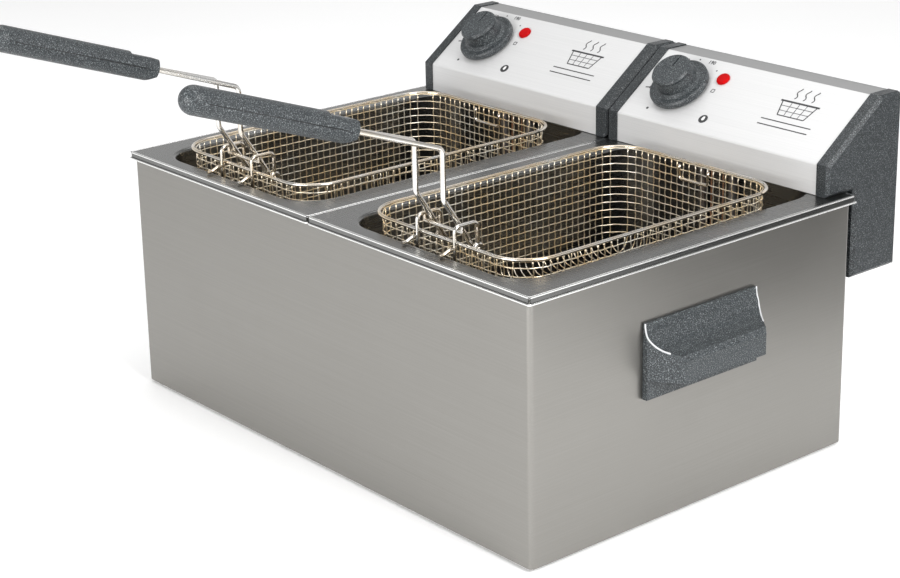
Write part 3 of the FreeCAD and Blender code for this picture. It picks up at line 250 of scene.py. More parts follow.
@dataclass(frozen=True)
class BrushedSteel:
    """Steel with fine straight scratches from a belt."""

    name: str
    colour: Colour
    roughness: float = 0.34
    grain: Grain = Grain.ROUND_WALLS
    fineness: float = 1400.0
    contrast: float = 0.07
    relief: float = 0.12
    metal: float = 1.0
    # Painted shade: faces looking straight up get their colour multiplied by this.
    painted_top_shade: float = 1.0

    def scratches(self, graph: Graph) -> bpy.types.NodeSocket:
        """The scratch pattern for the chosen grain.

        Args:
            graph: the material being made.

        Returns:
            Values from 0 to 1 in long thin streaks.
        """
        fine = self.fineness
        along_x = graph.noise((STREAK_LENGTH, fine, fine), detail=5.0, rough=0.7)
        if self.grain is Grain.CROSSWISE:
            return along_x
        along_y = graph.noise((fine, STREAK_LENGTH, fine), detail=5.0, rough=0.7)
        if self.grain is Grain.LENGTHWISE:
            return along_y
        return graph.mix(self.faces(graph, "X", FACING_SIDEWAYS), along_x, along_y)

    @staticmethod
    def faces(graph: Graph, axis: str, limit: float) -> bpy.types.NodeSocket:
        """Where the surface faces along an axis, either way.

        Args:
            graph: the material being made.
            axis: the axis' letter.
            limit: how nearly it has to face that way.

        Returns:
            1 there and 0 elsewhere.
        """
        facing = graph.node("ShaderNodeNewGeometry")
        parts = graph.node("ShaderNodeSeparateXYZ")
        size = graph.node("ShaderNodeMath", operation="ABSOLUTE")
        step = graph.node("ShaderNodeMath", operation="GREATER_THAN")
        step.inputs[1].default_value = limit
        graph.link(facing.outputs["Normal"], parts.inputs["Vector"])
        graph.link(parts.outputs[axis], size.inputs[0])
        graph.link(size.outputs[0], step.inputs[0])
        return step.outputs[0]

    def make(self) -> bpy.types.Material:
        """Build the material.

        Returns:
            The material.
        """
        graph = Graph(self.name)
        graph.fix(Metallic=self.metal)
        lines = self.scratches(graph)
        low = shade(self.colour, 1.0 - self.contrast)
        high = shade(self.colour, 1.0 + self.contrast)
        tone = graph.ramp(lines, zip(STREAK_STOPS, (low, high)))
        # Painted shade: faces looking straight up take a darker copy of the streak colours.
        if self.painted_top_shade < 1.0:
            painted_shade_stops = zip(STREAK_STOPS, (shade(low, self.painted_top_shade), shade(high, self.painted_top_shade)))
            tone = graph.mix(self.faces(graph, "Z", UP_FACING_SHADE_LIMIT), tone, graph.ramp(lines, painted_shade_stops))
        graph.link(tone, graph.shader.inputs["Base Color"])
        smudge = graph.noise((9.0, 9.0, 9.0), detail=4.0, rough=0.6)
        uneven = graph.mix(smudge, lines, smudge)
        rough = graph.spread(uneven, self.roughness - 0.05, self.roughness + 0.07)
        graph.link(rough, graph.shader.inputs["Roughness"])
        graph.bump(lines, strength=self.relief, depth=0.0001)
        return graph.material


@dataclass(frozen=True)
class SpeckledPlastic:
    """Dark moulded plastic with pale and black specks in it."""

    name: str
    dark: Colour = (0.009, 0.010, 0.012)
    body: Colour = (0.030, 0.036, 0.040)
    fleck: Colour = (0.21, 0.228, 0.232)
    roughness: float = 0.42

    def make(self) -> bpy.types.Material:
        """Build the material.

        Returns:
            The material.
        """
        graph = Graph(self.name)
        grain = graph.noise((1150.0, 1150.0, 1150.0), detail=2.0, rough=0.6)
        stops = [(0.38, self.dark), (0.47, self.body), (0.56, self.body), (0.66, self.fleck)]
        graph.link(graph.ramp(grain, stops), graph.shader.inputs["Base Color"])
        cloud = graph.noise((60.0, 60.0, 60.0), detail=3.0)
        rough = graph.spread(cloud, self.roughness - 0.04, self.roughness + 0.08)
        graph.link(rough, graph.shader.inputs["Roughness"])
        graph.fix(Specular_IOR_Level=0.45)
        graph.bump(graph.noise((900.0, 900.0, 900.0), detail=3.0), strength=0.28, depth=0.00015)
        return graph.material


@dataclass(frozen=True)
class DrawnWire:
    """Bright drawn wire with a warm tint here and there."""

    name: str
    colour: Colour = (0.68, 0.66, 0.62)
    tint: Colour = (0.70, 0.58, 0.42)
    roughness: float = 0.14
    patch: float = 28.0

    def make(self) -> bpy.types.Material:
        """Build the material.

        Returns:
            The material.
        """
        graph = Graph(self.name)
        graph.fix(Metallic=1.0)
        patches = graph.noise((self.patch, self.patch, self.patch), detail=4.0, rough=0.6)
        colours = [(0.38, self.colour), (0.62, self.tint)]
        graph.link(graph.ramp(patches, colours), graph.shader.inputs["Base Color"])
        streaks = graph.noise((700.0, 700.0, 700.0), detail=3.0)
        rough = graph.spread(streaks, self.roughness - 0.05, self.roughness + 0.09)
        graph.link(rough, graph.shader.inputs["Roughness"])
        graph.bump(streaks, strength=0.06, depth=0.00006)
        return graph.material


@dataclass(frozen=True)
class Moulding:
    """Plain moulded plastic, rubber or print with a fine even texture."""

    name: str
    colour: Colour
    roughness: float = 0.45
    texture: float = 1500.0
    relief: float = 0.15
    variation: float = 0.12
    gloss: float = 0.5

    def make(self) -> bpy.types.Material:
        """Build the material.

        Returns:
            The material.
        """
        graph = Graph(self.name)
        graph.fix(Specular_IOR_Level=self.gloss)
        tone = graph.noise((70.0, 70.0, 70.0), detail=4.0)
        low = shade(self.colour, 1.0 - self.variation)
        high = shade(self.colour, 1.0 + self.variation)
        stops = [(NOISE_LOW, low), (NOISE_HIGH, high)]
        graph.link(graph.ramp(tone, stops), graph.shader.inputs["Base Color"])
        grain = graph.noise((self.texture, self.texture, self.texture), detail=2.0)
        rough = graph.spread(grain, self.roughness - 0.04, self.roughness + 0.06)
        graph.link(rough, graph.shader.inputs["Roughness"])
        graph.bump(grain, strength=self.relief, depth=0.00008)
        return graph.material


@dataclass(frozen=True)
class HeatStainedMetal:
    """Sheathed heating rod or copper part, dulled and coloured by heat."""

    name: str
    colour: Colour
    stain: Colour
    roughness: float = 0.4

    def make(self) -> bpy.types.Material:
        """Build the material.

        Returns:
            The material.
        """
        graph = Graph(self.name)
        graph.fix(Metallic=1.0)
        stains = graph.noise((35.0, 35.0, 35.0), detail=6.0, rough=0.65)
        stops = [(0.4, self.colour), (0.65, self.stain)]
        graph.link(graph.ramp(stains, stops), graph.shader.inputs["Base Color"])
        grit = graph.noise((600.0, 600.0, 600.0), detail=3.0)
        rough = graph.spread(grit, self.roughness - 0.08, self.roughness + 0.12)
        graph.link(rough, graph.shader.inputs["Roughness"])
        graph.bump(grit, strength=0.15, depth=0.0001)
        return graph.material


class Finishes:
    """Every finish of the fryer, each made once and shared."""

    def __init__(self) -> None:
        """Make all the materials."""
        kinds = {
            "housing": BrushedSteel("housing_steel", (0.275, 0.267, 0.250), 0.36,
                                    contrast=0.05, relief=0.08),
            "pan": BrushedSteel("pan_steel", (0.185, 0.186, 0.182), 0.27,
                                fineness=1600.0, contrast=0.015, relief=0.01),
            # Painted highlight: the pans' own steel made near white, so the rolled lip edges show as bright
            # lines.
            "bead_highlight": BrushedSteel("rolled_edge_painted_highlight", (0.93, 0.93, 0.92), 0.16, Grain.CROSSWISE,
                                 fineness=900.0, contrast=0.03, relief=0.03),
            # The panel's flat top gets painted shade: its colour is dimmed to 0.45 so it reads as a grey
            # strip.
            "panel": BrushedSteel("panel_steel", (0.66, 0.665, 0.67), 0.5, Grain.CROSSWISE,
                                  fineness=1800.0, contrast=0.05, relief=0.1, metal=0.35, painted_top_shade=0.45),
            "inner": BrushedSteel("inner_steel", (0.52, 0.53, 0.53), 0.4, Grain.CROSSWISE,
                                  fineness=900.0, contrast=0.06, relief=0.1),
            "cheek": SpeckledPlastic("cheek_plastic", (0.006, 0.007, 0.008), (0.020, 0.024, 0.027),
                                     (0.15, 0.163, 0.167)),
            "plastic": SpeckledPlastic("speckled_plastic"),
            "wire": DrawnWire("basket_wire"),
            "rod": DrawnWire("handle_wire", (0.72, 0.715, 0.70), (0.66, 0.60, 0.52), 0.12, patch=14.0),
            "weave": DrawnWire("woven_wire", (0.93, 0.88, 0.78), (0.94, 0.76, 0.50), 0.30, patch=22.0),
            "fixing": BrushedSteel("steel_fixing", (0.62, 0.62, 0.61), 0.3, Grain.LENGTHWISE,
                                   fineness=2500.0, contrast=0.06, relief=0.1),
            "element": HeatStainedMetal("element_sheath", (0.26, 0.25, 0.245), (0.20, 0.16, 0.13), 0.42),
            "copper": HeatStainedMetal("copper_bulb", (0.72, 0.42, 0.27), (0.46, 0.26, 0.17), 0.34),
            "black": Moulding("black_thermoset", (0.022, 0.022, 0.024), 0.48),
            "white": Moulding("white_thermoset", (0.72, 0.70, 0.66), 0.4),
            "lens": Moulding("red_lens", (0.44, 0.001, 0.002), 0.4,
                             texture=400.0, relief=0.04, variation=0.2, gloss=0.08),
            "button": Moulding("red_button", (0.45, 0.012, 0.012), 0.35),
            "seam": Moulding("grip_seam", (0.012, 0.013, 0.014), 0.5),
            # Painted highlight: pale grey for the thin ridges on the edges of the grips, which are dark
            # plastic.
            "ridge": Moulding("ridge_painted_highlight", (0.60, 0.61, 0.62), 0.3, relief=0.05, variation=0.1),
            "rubber": Moulding("foot_rubber", (0.02, 0.02, 0.02), 0.7, texture=900.0, relief=0.3),
            "ink": Moulding("printed_ink", (0.035, 0.036, 0.038), 0.5,
                            texture=2500.0, relief=0.05, variation=0.25),
            "pale_ink": Moulding("pale_ink", (0.78, 0.78, 0.77), 0.5,
                                 texture=2500.0, relief=0.05, variation=0.05),
        }
        self.ready = {word: kind.make() for word, kind in kinds.items()}

    def dress(self, item: bpy.types.Object, word: str) -> None:
        """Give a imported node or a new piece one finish.

        Args:
            item: the object.
            word: the finish's name.
        """
        material = self.ready[word]
        if item.material_slots:
            for holder in item.material_slots:
                holder.material = material
        else:
            item.data.materials.append(material)


# ------------------------------------------------------------------ mesh making


class MeshMaker:
    """Collects vertices and faces and turns them into one object."""

    def __init__(self) -> None:
        """Start with nothing."""
        self.vertices: list[tuple[float, float, float]] = []
        self.faces: list[tuple[int, ...]] = []

    def tube(self, path: Sequence[Vector], radius: float, sides: int, closed: bool = False) -> None:
        """Add a round wire along a path.

        Args:
            path: the wire's centre line.
            radius: the wire's radius.
            sides: how many flats go round it.
            closed: whether the path joins its own start.
        """
        count = len(path)
        start = len(self.vertices)
        tangents = []
        for index in range(count):
            before = path[index - 1] if closed or index else path[0]
            after = path[(index + 1) % count] if closed or index < count - 1 else path[-1]
            tangents.append((after - before).normalized())
        across = tangents[0].orthogonal().normalized()
        for index in range(count):
            tangent = tangents[index]
            across = (across - tangent * across.dot(tangent)).normalized()
            upward = tangent.cross(across)
            for side in range(sides):
                turn = 2.0 * math.pi * side / sides
                spot = path[index] + across * (radius * math.cos(turn)) + upward * (radius * math.sin(turn))
                self.vertices.append(tuple(spot))
        rings = count if closed else count - 1
        for ring in range(rings):
            here = start + ring * sides
            there = start + ((ring + 1) % count) * sides
            for side in range(sides):
                following = (side + 1) % sides
                self.faces.append((here + side, here + following, there + following, there + side))
        if not closed:
            self.faces.append(tuple(start + side for side in reversed(range(sides))))
            self.faces.append(tuple(start + (count - 1) * sides + side for side in range(sides)))

    def plate(self, outline: Sequence[Point], depth: float,
              to_world: Callable[[float, float, float], Vector]) -> None:
        """Add a thin flat shape.

        Args:
            outline: its corners, anticlockwise, on a flat surface.
            depth: its thickness.
            to_world: turns a place on the surface and a height above it into a point.
        """
        count = len(outline)
        start = len(self.vertices)
        for height in (0.0, depth):
            for across, along in outline:
                self.vertices.append(tuple(to_world(across, along, height)))
        self.faces.append(tuple(start + count + index for index in range(count)))
        self.faces.append(tuple(start + index for index in reversed(range(count))))
        for index in range(count):
            following = (index + 1) % count
            self.faces.append((start + index, start + following,
                               start + count + following, start + count + index))

    def finish(self, name: str, smooth: bool) -> bpy.types.Object:
        """Make the object.

        Args:
            name: the piece's name.
            smooth: whether its faces are shaded smoothly.

        Returns:
            The new object, linked to the scene.
        """
        mesh = bpy.data.meshes.new(name)
        mesh.from_pydata(self.vertices, [], self.faces)
        mesh.validate()
        tidy = bmesh.new()
        tidy.from_mesh(mesh)
        bmesh.ops.recalc_face_normals(tidy, faces=tidy.faces)
        for face in tidy.faces:
            face.smooth = smooth
        tidy.to_mesh(mesh)
        tidy.free()
        made = bpy.data.objects.new(name, mesh)
        bpy.context.scene.collection.objects.link(made)
        return made


def disc(centre: Point, radius: float, steps: int = 40) -> list[Point]:
    """Corners of a many-sided disc.

    Args:
        centre: its middle on the surface.
        radius: its radius.
        steps: how many corners it has.

    Returns:
        The corners, anticlockwise.
    """
    turns = [2.0 * math.pi * step / steps for step in range(steps)]
    return [(centre[0] + radius * math.cos(turn), centre[1] + radius * math.sin(turn)) for turn in turns]


def ribbon(line: Sequence[Point], width: float) -> list[Point]:
    """Outline of a stroke of even width.

    Args:
        line: the stroke's centre line on the surface.
        width: its width.

    Returns:
        The outline's corners, anticlockwise.
    """
    left: list[Point] = []
    right: list[Point] = []
    last = len(line) - 1
    for index, (across, along) in enumerate(line):
        before = line[max(index - 1, 0)]
        after = line[min(index + 1, last)]
        run = Vector((after[0] - before[0], after[1] - before[1])).normalized() * (width / 2.0)
        left.append((across - run.y, along + run.x))
        right.append((across + run.y, along - run.x))
    return right + left[::-1]


# ------------------------------------------------------------------ baskets


@dataclass
class WovenBasket:
    """One wire basket: woven walls and floor inside the rim, and a rear loop."""

    side: Side
    finishes: Finishes
    centre_x: float = 0.1365
    half_width: float = 0.0944
    front: float = 0.0286 + FRONT_Y
    rear: float = 0.3174 + FRONT_Y
    floor: float = 0.1388
    top: float = 0.2366
    corner: float = 0.0297
    floor_round: float = 0.0135
    pitch: float = 0.0072
    wire: float = 0.00056
    weave: float = 0.00046
    wire_sides: int = 5
    rim_gap: float = 0.0012
    edge_margin: float = 0.009
    bend_turns: tuple[float, ...] = (22.5, 45.0, 67.5)
    corner_parts: int = 12
    loop_half: float = 0.017
    loop_wire: float = 0.0013
    loop_sides: int = 10
    loop_set: float = 0.0021
    loop_top: float = 0.2335
    loop_bend: float = 0.2235
    loop_round: float = 0.003

    def centre(self) -> float:
        """X of the basket's middle."""
        return self.side.value * self.centre_x

    def wave(self, distance: float, turn: int) -> float:
        """How far a wire stands off the middle surface.

        Args:
            distance: place along the wire.
            turn: the wire's number, which sets over or under.

        Returns:
            The offset, positive outwards.
        """
        sign = 1.0 if turn % 2 else -1.0
        return sign * self.weave * math.cos(math.pi * distance / self.pitch)

    def corner_step(self, offset: float, half: float) -> float:
        """How far a wall is set back by the plan's round corner.

        Args:
            offset: distance of the wire from the middle line.
            half: half the basket's size in that direction.

        Returns:
            The set-back.
        """
        past = max(abs(offset) - (half - self.corner), 0.0)
        return self.corner - math.sqrt(max(self.corner ** 2 - past ** 2, 0.0))

    def bowl(self, offset: float, half: float, low: float, high: float,
             turn: int) -> list[tuple[float, float]]:
        """Profile of a wire that goes down one wall, across the floor and up the other.

        Args:
            offset: distance of the wire from the middle line.
            half: half the basket's size across the wire.
            low: the near wall's place along the wire.
            high: the far wall's place.
            turn: the wire's number.

        Returns:
            Pairs of place along the wire's direction and height.
        """
        back = self.corner_step(offset, half)
        low, high = low + back, high - back
        bend = self.floor_round
        past = max(abs(offset) - (half - bend), 0.0)
        floor = self.floor + bend - math.sqrt(max(bend ** 2 - past ** 2, 0.0))
        step = self.pitch / 2.0
        profile = []
        rise = int((self.top - floor - bend) / step)
        for index in range(rise, -1, -1):
            height = floor + bend + index * step
            profile.append((low - self.wave(index * step, turn), height))
        for angle in self.bend_turns:
            turned = math.radians(angle)
            profile.append((low + bend * (1 - math.cos(turned)), floor + bend * (1 - math.sin(turned))))
        run = high - low - 2 * bend
        steps = max(int(run / step), 2)
        for index in range(steps + 1):
            along = low + bend + run * index / steps
            profile.append((along, floor - self.wave(along, turn)))
        for angle in reversed(self.bend_turns):
            turned = math.radians(angle)
            profile.append((high - bend * (1 - math.cos(turned)), floor + bend * (1 - math.sin(turned))))
        for index in range(rise + 1):
            height = floor + bend + index * step
            profile.append((high + self.wave(index * step, turn), height))
        return profile

    def hoop(self, level: float, turn: int) -> list[Vector]:
        """Closed wire round the walls at one level.

        Args:
            level: its height.
            turn: the wire's number.

        Returns:
            The points of its centre line.
        """
        half_x, half_y = self.half_width, (self.rear - self.front) / 2.0
        middle_y = (self.front + self.rear) / 2.0
        spots: list[tuple[float, float, float, float]] = []
        straight_x, straight_y = half_x - self.corner, half_y - self.corner
        step = self.pitch / 2.0
        walls = [((-straight_x, -half_y), (1, 0), 2 * straight_x, (0, -1), -90),
                 ((half_x, -straight_y), (0, 1), 2 * straight_y, (1, 0), 0),
                 ((straight_x, half_y), (-1, 0), 2 * straight_x, (0, 1), 90),
                 ((-half_x, straight_y), (0, -1), 2 * straight_y, (-1, 0), 180)]
        for (x, y), (run_x, run_y), length, (out_x, out_y), angle in walls:
            count = int(length / step)
            for index in range(count + 1):
                gone = length * index / count
                spots.append((x + run_x * gone, y + run_y * gone, out_x, out_y))
            end_x, end_y = x + run_x * length, y + run_y * length
            hub_x, hub_y = end_x - out_x * self.corner, end_y - out_y * self.corner
            for part in range(1, self.corner_parts):
                turned = math.radians(angle + 90.0 * part / self.corner_parts)
                out = (math.cos(turned), math.sin(turned))
                spots.append((hub_x + self.corner * out[0], hub_y + self.corner * out[1], *out))
        points = []
        for index, (x, y, out_x, out_y) in enumerate(spots):
            off = -self.weave * (1 if (index // 2 + turn) % 2 else -1) if index % 2 == 0 else 0.0
            points.append(Vector((self.centre() + x + out_x * off, middle_y + y + out_y * off, level)))
        return points

    def build(self) -> bpy.types.Object:
        """Weave the basket.

        Returns:
            The basket as one object.
        """
        maker = MeshMaker()
        half_y = (self.rear - self.front) / 2.0
        middle_y = (self.front + self.rear) / 2.0
        across = int((self.half_width - self.edge_margin) / self.pitch)
        for turn in range(-across, across + 1):
            offset = turn * self.pitch
            profile = self.bowl(offset, self.half_width, self.front, self.rear, turn)
            path = [Vector((self.centre() + offset, y, z)) for y, z in profile]
            maker.tube(path, self.wire, self.wire_sides)
        along = int((half_y - self.edge_margin) / self.pitch)
        for turn in range(-along, along + 1):
            offset = turn * self.pitch
            profile = self.bowl(offset, half_y, -self.half_width, self.half_width, turn + 1)
            path = [Vector((self.centre() + x, middle_y + offset, z)) for x, z in profile]
            maker.tube(path, self.wire, self.wire_sides)
        levels = int((self.top - self.floor - self.floor_round) / self.pitch)
        for turn in range(levels + 1):
            level = self.top - self.rim_gap - turn * self.pitch
            maker.tube(self.hoop(level, turn), self.wire, self.wire_sides, closed=True)
        made = maker.finish(f"{self.side.word}_woven_basket", smooth=True)
        self.finishes.dress(made, "weave")
        return made

    def rear_loop(self) -> bpy.types.Object:
        """Small wire loop welded inside the rear wall.

        Returns:
            The loop as one object.
        """
        maker = MeshMaker()
        line = self.rear - self.loop_set
        centre, bend = self.centre(), self.loop_round
        points = [Vector((centre - self.loop_half, line, self.loop_top - bend * step)) for step in range(4)]
        for angle in range(200, 261, 20):
            turned = math.radians(angle)
            points.append(Vector((centre - self.loop_half + bend + bend * math.cos(turned), line,
                                  self.loop_bend + bend * math.sin(turned))))
        mirrored = [Vector((2 * centre - point.x, point.y, point.z)) for point in reversed(points)]
        maker.tube(points + mirrored, self.loop_wire, self.loop_sides)
        made = maker.finish(f"{self.side.word}_rear_loop", smooth=True)
        self.finishes.dress(made, "wire")
        return made

    def add(self) -> None:
        """Weave the basket, hang it on its body and dress its packed wires."""
        word = self.side.word
        weave = self.build()
        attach(weave, f"{word}_basket")
        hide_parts(f"{word}_basket_mesh")
        loop = self.rear_loop()
        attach(loop, f"{word}_basket")
        for node in ("basket_rim", "basket_bracket"):
            self.finishes.dress(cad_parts[f"{word}_{node}"], "wire")
        LOG.info("%s basket: %d faces of woven wire", word, len(weave.data.polygons))


# ------------------------------------------------------------------ control heads


@dataclass
class ControlHead:
    """One control head: panel, cheeks, printed dial, sign and badge."""

    side: Side
    finishes: Finishes
    centre_x: float = 0.1326
    bend_y: float = 0.342 + FRONT_Y
    bend_z: float = 0.2560
    slope: float = math.radians(36.0)
    inset: float = 0.0012
    lift: float = 0.00004
    print_depth: float = 0.00008
    knob: tuple[float, float] = (-0.072, 0.0435)
    dial_radius: float = 0.0355
    badge: tuple[float, float] = (-0.024, 0.0165)
    badge_radius: float = 0.0046
    badge_depth: float = 0.00025
    flame_radius: float = 0.0019
    flame_tip: float = 0.55
    flame_width: float = 0.8
    flame_lift: float = 0.00027
    flame_steps: int = 24
    dot_angles: tuple[float, ...] = (50.0, 96.0, 146.0)
    dot_radius: float = 0.0008
    lone_dot: tuple[float, float] = (238.0, 0.0013)
    drop_angle: float = 192.0
    drop_inward: float = 0.002
    drop_outward: float = 0.004
    drop_stem: float = 0.0012
    drop_bulb: float = 0.0018
    box_angle: float = 8.0
    box_half: float = 0.0017
    box_line: float = 0.0007
    number_gap: float = 0.0012
    number_size: float = 0.0056
    number_weight: float = 0.00012
    sign: tuple[float, float] = (0.060, 0.040)
    sign_scale: float = 1.55
    numbers: dict[int, float] = field(default_factory=lambda: {110: 172.0, 150: 121.0, 190: 72.0})

    def to_world(self, across: float, along: float, height: float) -> Vector:
        """A place on the sloping panel as a point.

        Args:
            across: distance from the head's middle, to the right.
            along: distance up the slope from its lower bend.
            height: distance above the panel's surface.

        Returns:
            The point.
        """
        out = height + self.lift - self.inset
        rise, run = math.sin(self.slope), math.cos(self.slope)
        return Vector((self.side.value * self.centre_x + across,
                       self.bend_y + along * run - out * rise,
                       self.bend_z + along * rise + out * run))

    def round_dial(self, degrees: float, radius: float) -> Point:
        """A place on the dial.

        Args:
            degrees: angle from the panel's right, anticlockwise.
            radius: distance from the knob's centre.

        Returns:
            The place on the panel.
        """
        turned = math.radians(degrees)
        return (self.knob[0] + radius * math.cos(turned), self.knob[1] + radius * math.sin(turned))

    def print_piece(self, name: str, shapes: Iterable[Sequence[Point]], depth: float) -> None:
        """Make thin printed shapes as one piece that rides on the head.

        Args:
            name: the piece's name without its side.
            shapes: outlines on the panel.
            depth: how thick the print is.
        """
        maker = MeshMaker()
        for shape in shapes:
            maker.plate(shape, depth, self.to_world)
        made = maker.finish(f"{self.side.word}_{name}", smooth=False)
        self.finishes.dress(made, "ink")
        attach(made, f"{self.side.word}_head")

    def dial_marks(self) -> None:
        """Dots, a drop-shaped mark for heat and a square mark for off round the knob."""
        radius = self.dial_radius
        shapes = [disc(self.round_dial(angle, radius), self.dot_radius) for angle in self.dot_angles]
        angle, size = self.lone_dot
        shapes.append(disc(self.round_dial(angle, radius), size))
        bulb = self.round_dial(self.drop_angle, radius - self.drop_inward)
        tip = self.round_dial(self.drop_angle, radius + self.drop_outward)
        shapes.append(ribbon([bulb, tip], self.drop_stem))
        shapes.append(disc(bulb, self.drop_bulb))
        x, y = self.round_dial(self.box_angle, radius)
        half = self.box_half
        corners = [(x - half, y - half), (x + half, y - half), (x + half, y + half), (x - half, y + half)]
        for start, end in zip(corners, corners[1:] + corners[:1]):
            shapes.append(ribbon([start, end], self.box_line))
        self.print_piece("dial_marks", shapes, self.print_depth)

    def dial_numbers(self) -> None:
        """Temperatures printed round the knob."""
        maker = MeshMaker()
        for value, angle in self.numbers.items():
            middle = self.round_dial(angle, self.dial_radius + self.number_gap)
            letters = bpy.data.curves.new(f"number_{value}", type="FONT")
            letters.body = str(value)
            letters.size = self.number_size
            letters.offset = self.number_weight
            letters.align_x = "CENTER"
            letters.align_y = "CENTER"
            holder = bpy.data.objects.new(f"number_{value}", letters)
            bpy.context.scene.collection.objects.link(holder)
            bpy.context.view_layer.update()
            flat = bpy.data.meshes.new_from_object(holder)
            start = len(maker.vertices)
            for vertex in flat.vertices:
                spot = self.to_world(middle[0] + vertex.co.x, middle[1] + vertex.co.y, self.print_depth)
                maker.vertices.append(tuple(spot))
            for polygon in flat.polygons:
                maker.faces.append(tuple(start + index for index in polygon.vertices))
            bpy.data.objects.remove(holder)
            bpy.data.curves.remove(letters)
            bpy.data.meshes.remove(flat)
        made = maker.finish(f"{self.side.word}_dial_numbers", smooth=False)
        self.finishes.dress(made, "ink")
        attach(made, f"{self.side.word}_head")

    def pictogram(self) -> None:
        """Plain sign of a basket with rising heat, and two ruled lines under it."""
        thick, thin, rim_line = 0.0007, 0.0004, 0.0012
        rim, foot, height, lip = 0.0125, 0.0095, 0.0105, 0.0015
        strokes: list[tuple[list[Point], float]] = [
            ([(-rim, height), (-foot, 0.0)], thick), ([(rim, height), (foot, 0.0)], thick),
            ([(-foot, 0.0), (foot, 0.0)], thick), ([(-rim - lip, height), (rim + lip, height)], rim_line)]
        bar_top, bar_foot, wave_middle = 0.0056, 0.0048, 0.0062
        sway, swing, clear, climb = 0.0009, 0.9, 0.0025, 0.0009
        for step in (-1, 0, 1):
            strokes.append(([(step * bar_top, height), (step * bar_foot, 0.0)], thin))
            wave = [(step * wave_middle + sway * math.sin(turn * swing), height + clear + turn * climb)
                    for turn in range(10)]
            strokes.append((wave, thick))
        for level in (0.0035, 0.007):
            reach = foot + (rim - foot) * level / height
            strokes.append(([(-reach, level), (reach, level)], thin))
        rule = 0.018
        for drop in (0.0045, 0.0085):
            strokes.append(([(-rule, -drop), (rule, -drop)], thick))
        across, along = self.sign
        scale = self.sign_scale
        shapes = [ribbon([(across + x * scale, along + y * scale) for x, y in line], width * scale)
                  for line, width in strokes]
        self.print_piece("panel_sign", shapes, self.print_depth)

    def round_badge(self) -> None:
        """Small black disc with a pale flame on it."""
        across, along = self.badge
        self.print_piece("round_badge", [disc(self.badge, self.badge_radius)], self.badge_depth)
        flame = []
        for step in range(self.flame_steps):
            turned = 2.0 * math.pi * step / self.flame_steps
            reach = self.flame_radius * (1.0 + self.flame_tip * max(math.sin(turned), 0.0) ** 3)
            flame.append((across + self.flame_width * reach * math.cos(turned),
                          along + reach * math.sin(turned)))
        maker = MeshMaker()
        maker.plate(flame, self.print_depth, lambda x, y, z: self.to_world(x, y, z + self.flame_lift))
        made = maker.finish(f"{self.side.word}_badge_flame", smooth=False)
        self.finishes.dress(made, "pale_ink")
        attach(made, f"{self.side.word}_head")

    def add(self) -> None:
        """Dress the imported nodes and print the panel."""
        looks = {"control_panel": "panel", "head_left_cheek": "cheek", "head_right_cheek": "cheek",
                 "knob": "plastic", "lamp_lens": "lens", "head_base": "inner", "rear_cover": "inner",
                 "cover_screws": "fixing", "heating_element": "element", "element_block": "fixing",
                 "sensor_bulbs": "copper", "bulb_saddles": "fixing", "thermostat": "black",
                 "knob_shaft": "fixing", "lamp_holder": "black", "safety_cutout": "black",
                 "reset_button": "button", "cord_gland": "black", "terminal_block": "white",
                 "seat_switch": "black"}
        for node, look in looks.items():
            self.finishes.dress(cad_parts[f"{self.side.word}_{node}"], look)
        self.dial_marks()
        self.dial_numbers()
        self.pictogram()
        self.round_badge()
        LOG.info("%s control head: %d nodes dressed", self.side.word, len(looks))


# ------------------------------------------------------------------ pan edges


@dataclass
class PanEdges:
    """Rolled beads along the top and foot of one pan's lips: real rolled edges, coloured far paler than the
    pan's steel as a painted highlight.
    """

    side: Side
    finishes: Finishes
    outer: float = 0.2726
    inner: float = 0.0004
    front: float = -0.0026 + FRONT_Y
    rear: float = 0.3686 + FRONT_Y
    top: float = 0.2278
    lip_foot: float = 0.2208
    top_radius: float = 0.0011
    foot_radius: float = 0.0009
    foot_bulge: float = 0.0006
    corner: float = 0.0016
    top_sink: float = 0.75
    top_inset: float = 0.8
    corner_steps: int = 4
    bead_sides: int = 10

    def loop(self, level: float, inset: float) -> list[Vector]:
        """Closed line round the pan's edge.

        Args:
            level: its height.
            inset: how far it lies inside the pan's outline.

        Returns:
            Its points, with small round corners.
        """
        sign = self.side.value
        beside = max(inset, self.foot_radius)
        near, far = sorted((sign * (self.inner + beside), sign * (self.outer - inset)))
        low, high = self.front + inset, self.rear - inset
        hubs = [(far, low, 1, -1, -90.0), (far, high, 1, 1, 0.0),
                (near, high, -1, 1, 90.0), (near, low, -1, -1, 180.0)]
        points = []
        for x, y, out_x, out_y, start in hubs:
            centre_x, centre_y = x - out_x * self.corner, y - out_y * self.corner
            for step in range(self.corner_steps + 1):
                turned = math.radians(start + 90.0 * step / self.corner_steps)
                points.append(Vector((centre_x + self.corner * math.cos(turned),
                                      centre_y + self.corner * math.sin(turned), level)))
        return points

    def add(self) -> None:
        """Make both beads and hang them on the pan."""
        maker = MeshMaker()
        top = self.loop(self.top - self.top_radius * self.top_sink, self.top_radius * self.top_inset)
        foot = self.loop(self.lip_foot + self.foot_radius, -self.foot_bulge)
        maker.tube(top, self.top_radius, self.bead_sides, closed=True)
        maker.tube(foot, self.foot_radius, self.bead_sides, closed=True)
        made = maker.finish(f"{self.side.word}_pan_edges", smooth=True)
        self.finishes.dress(made, "bead_highlight")
        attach(made, f"{self.side.word}_pan")
        LOG.info("%s pan edges: two beads", self.side.word)


# ------------------------------------------------------------------ housing and handles


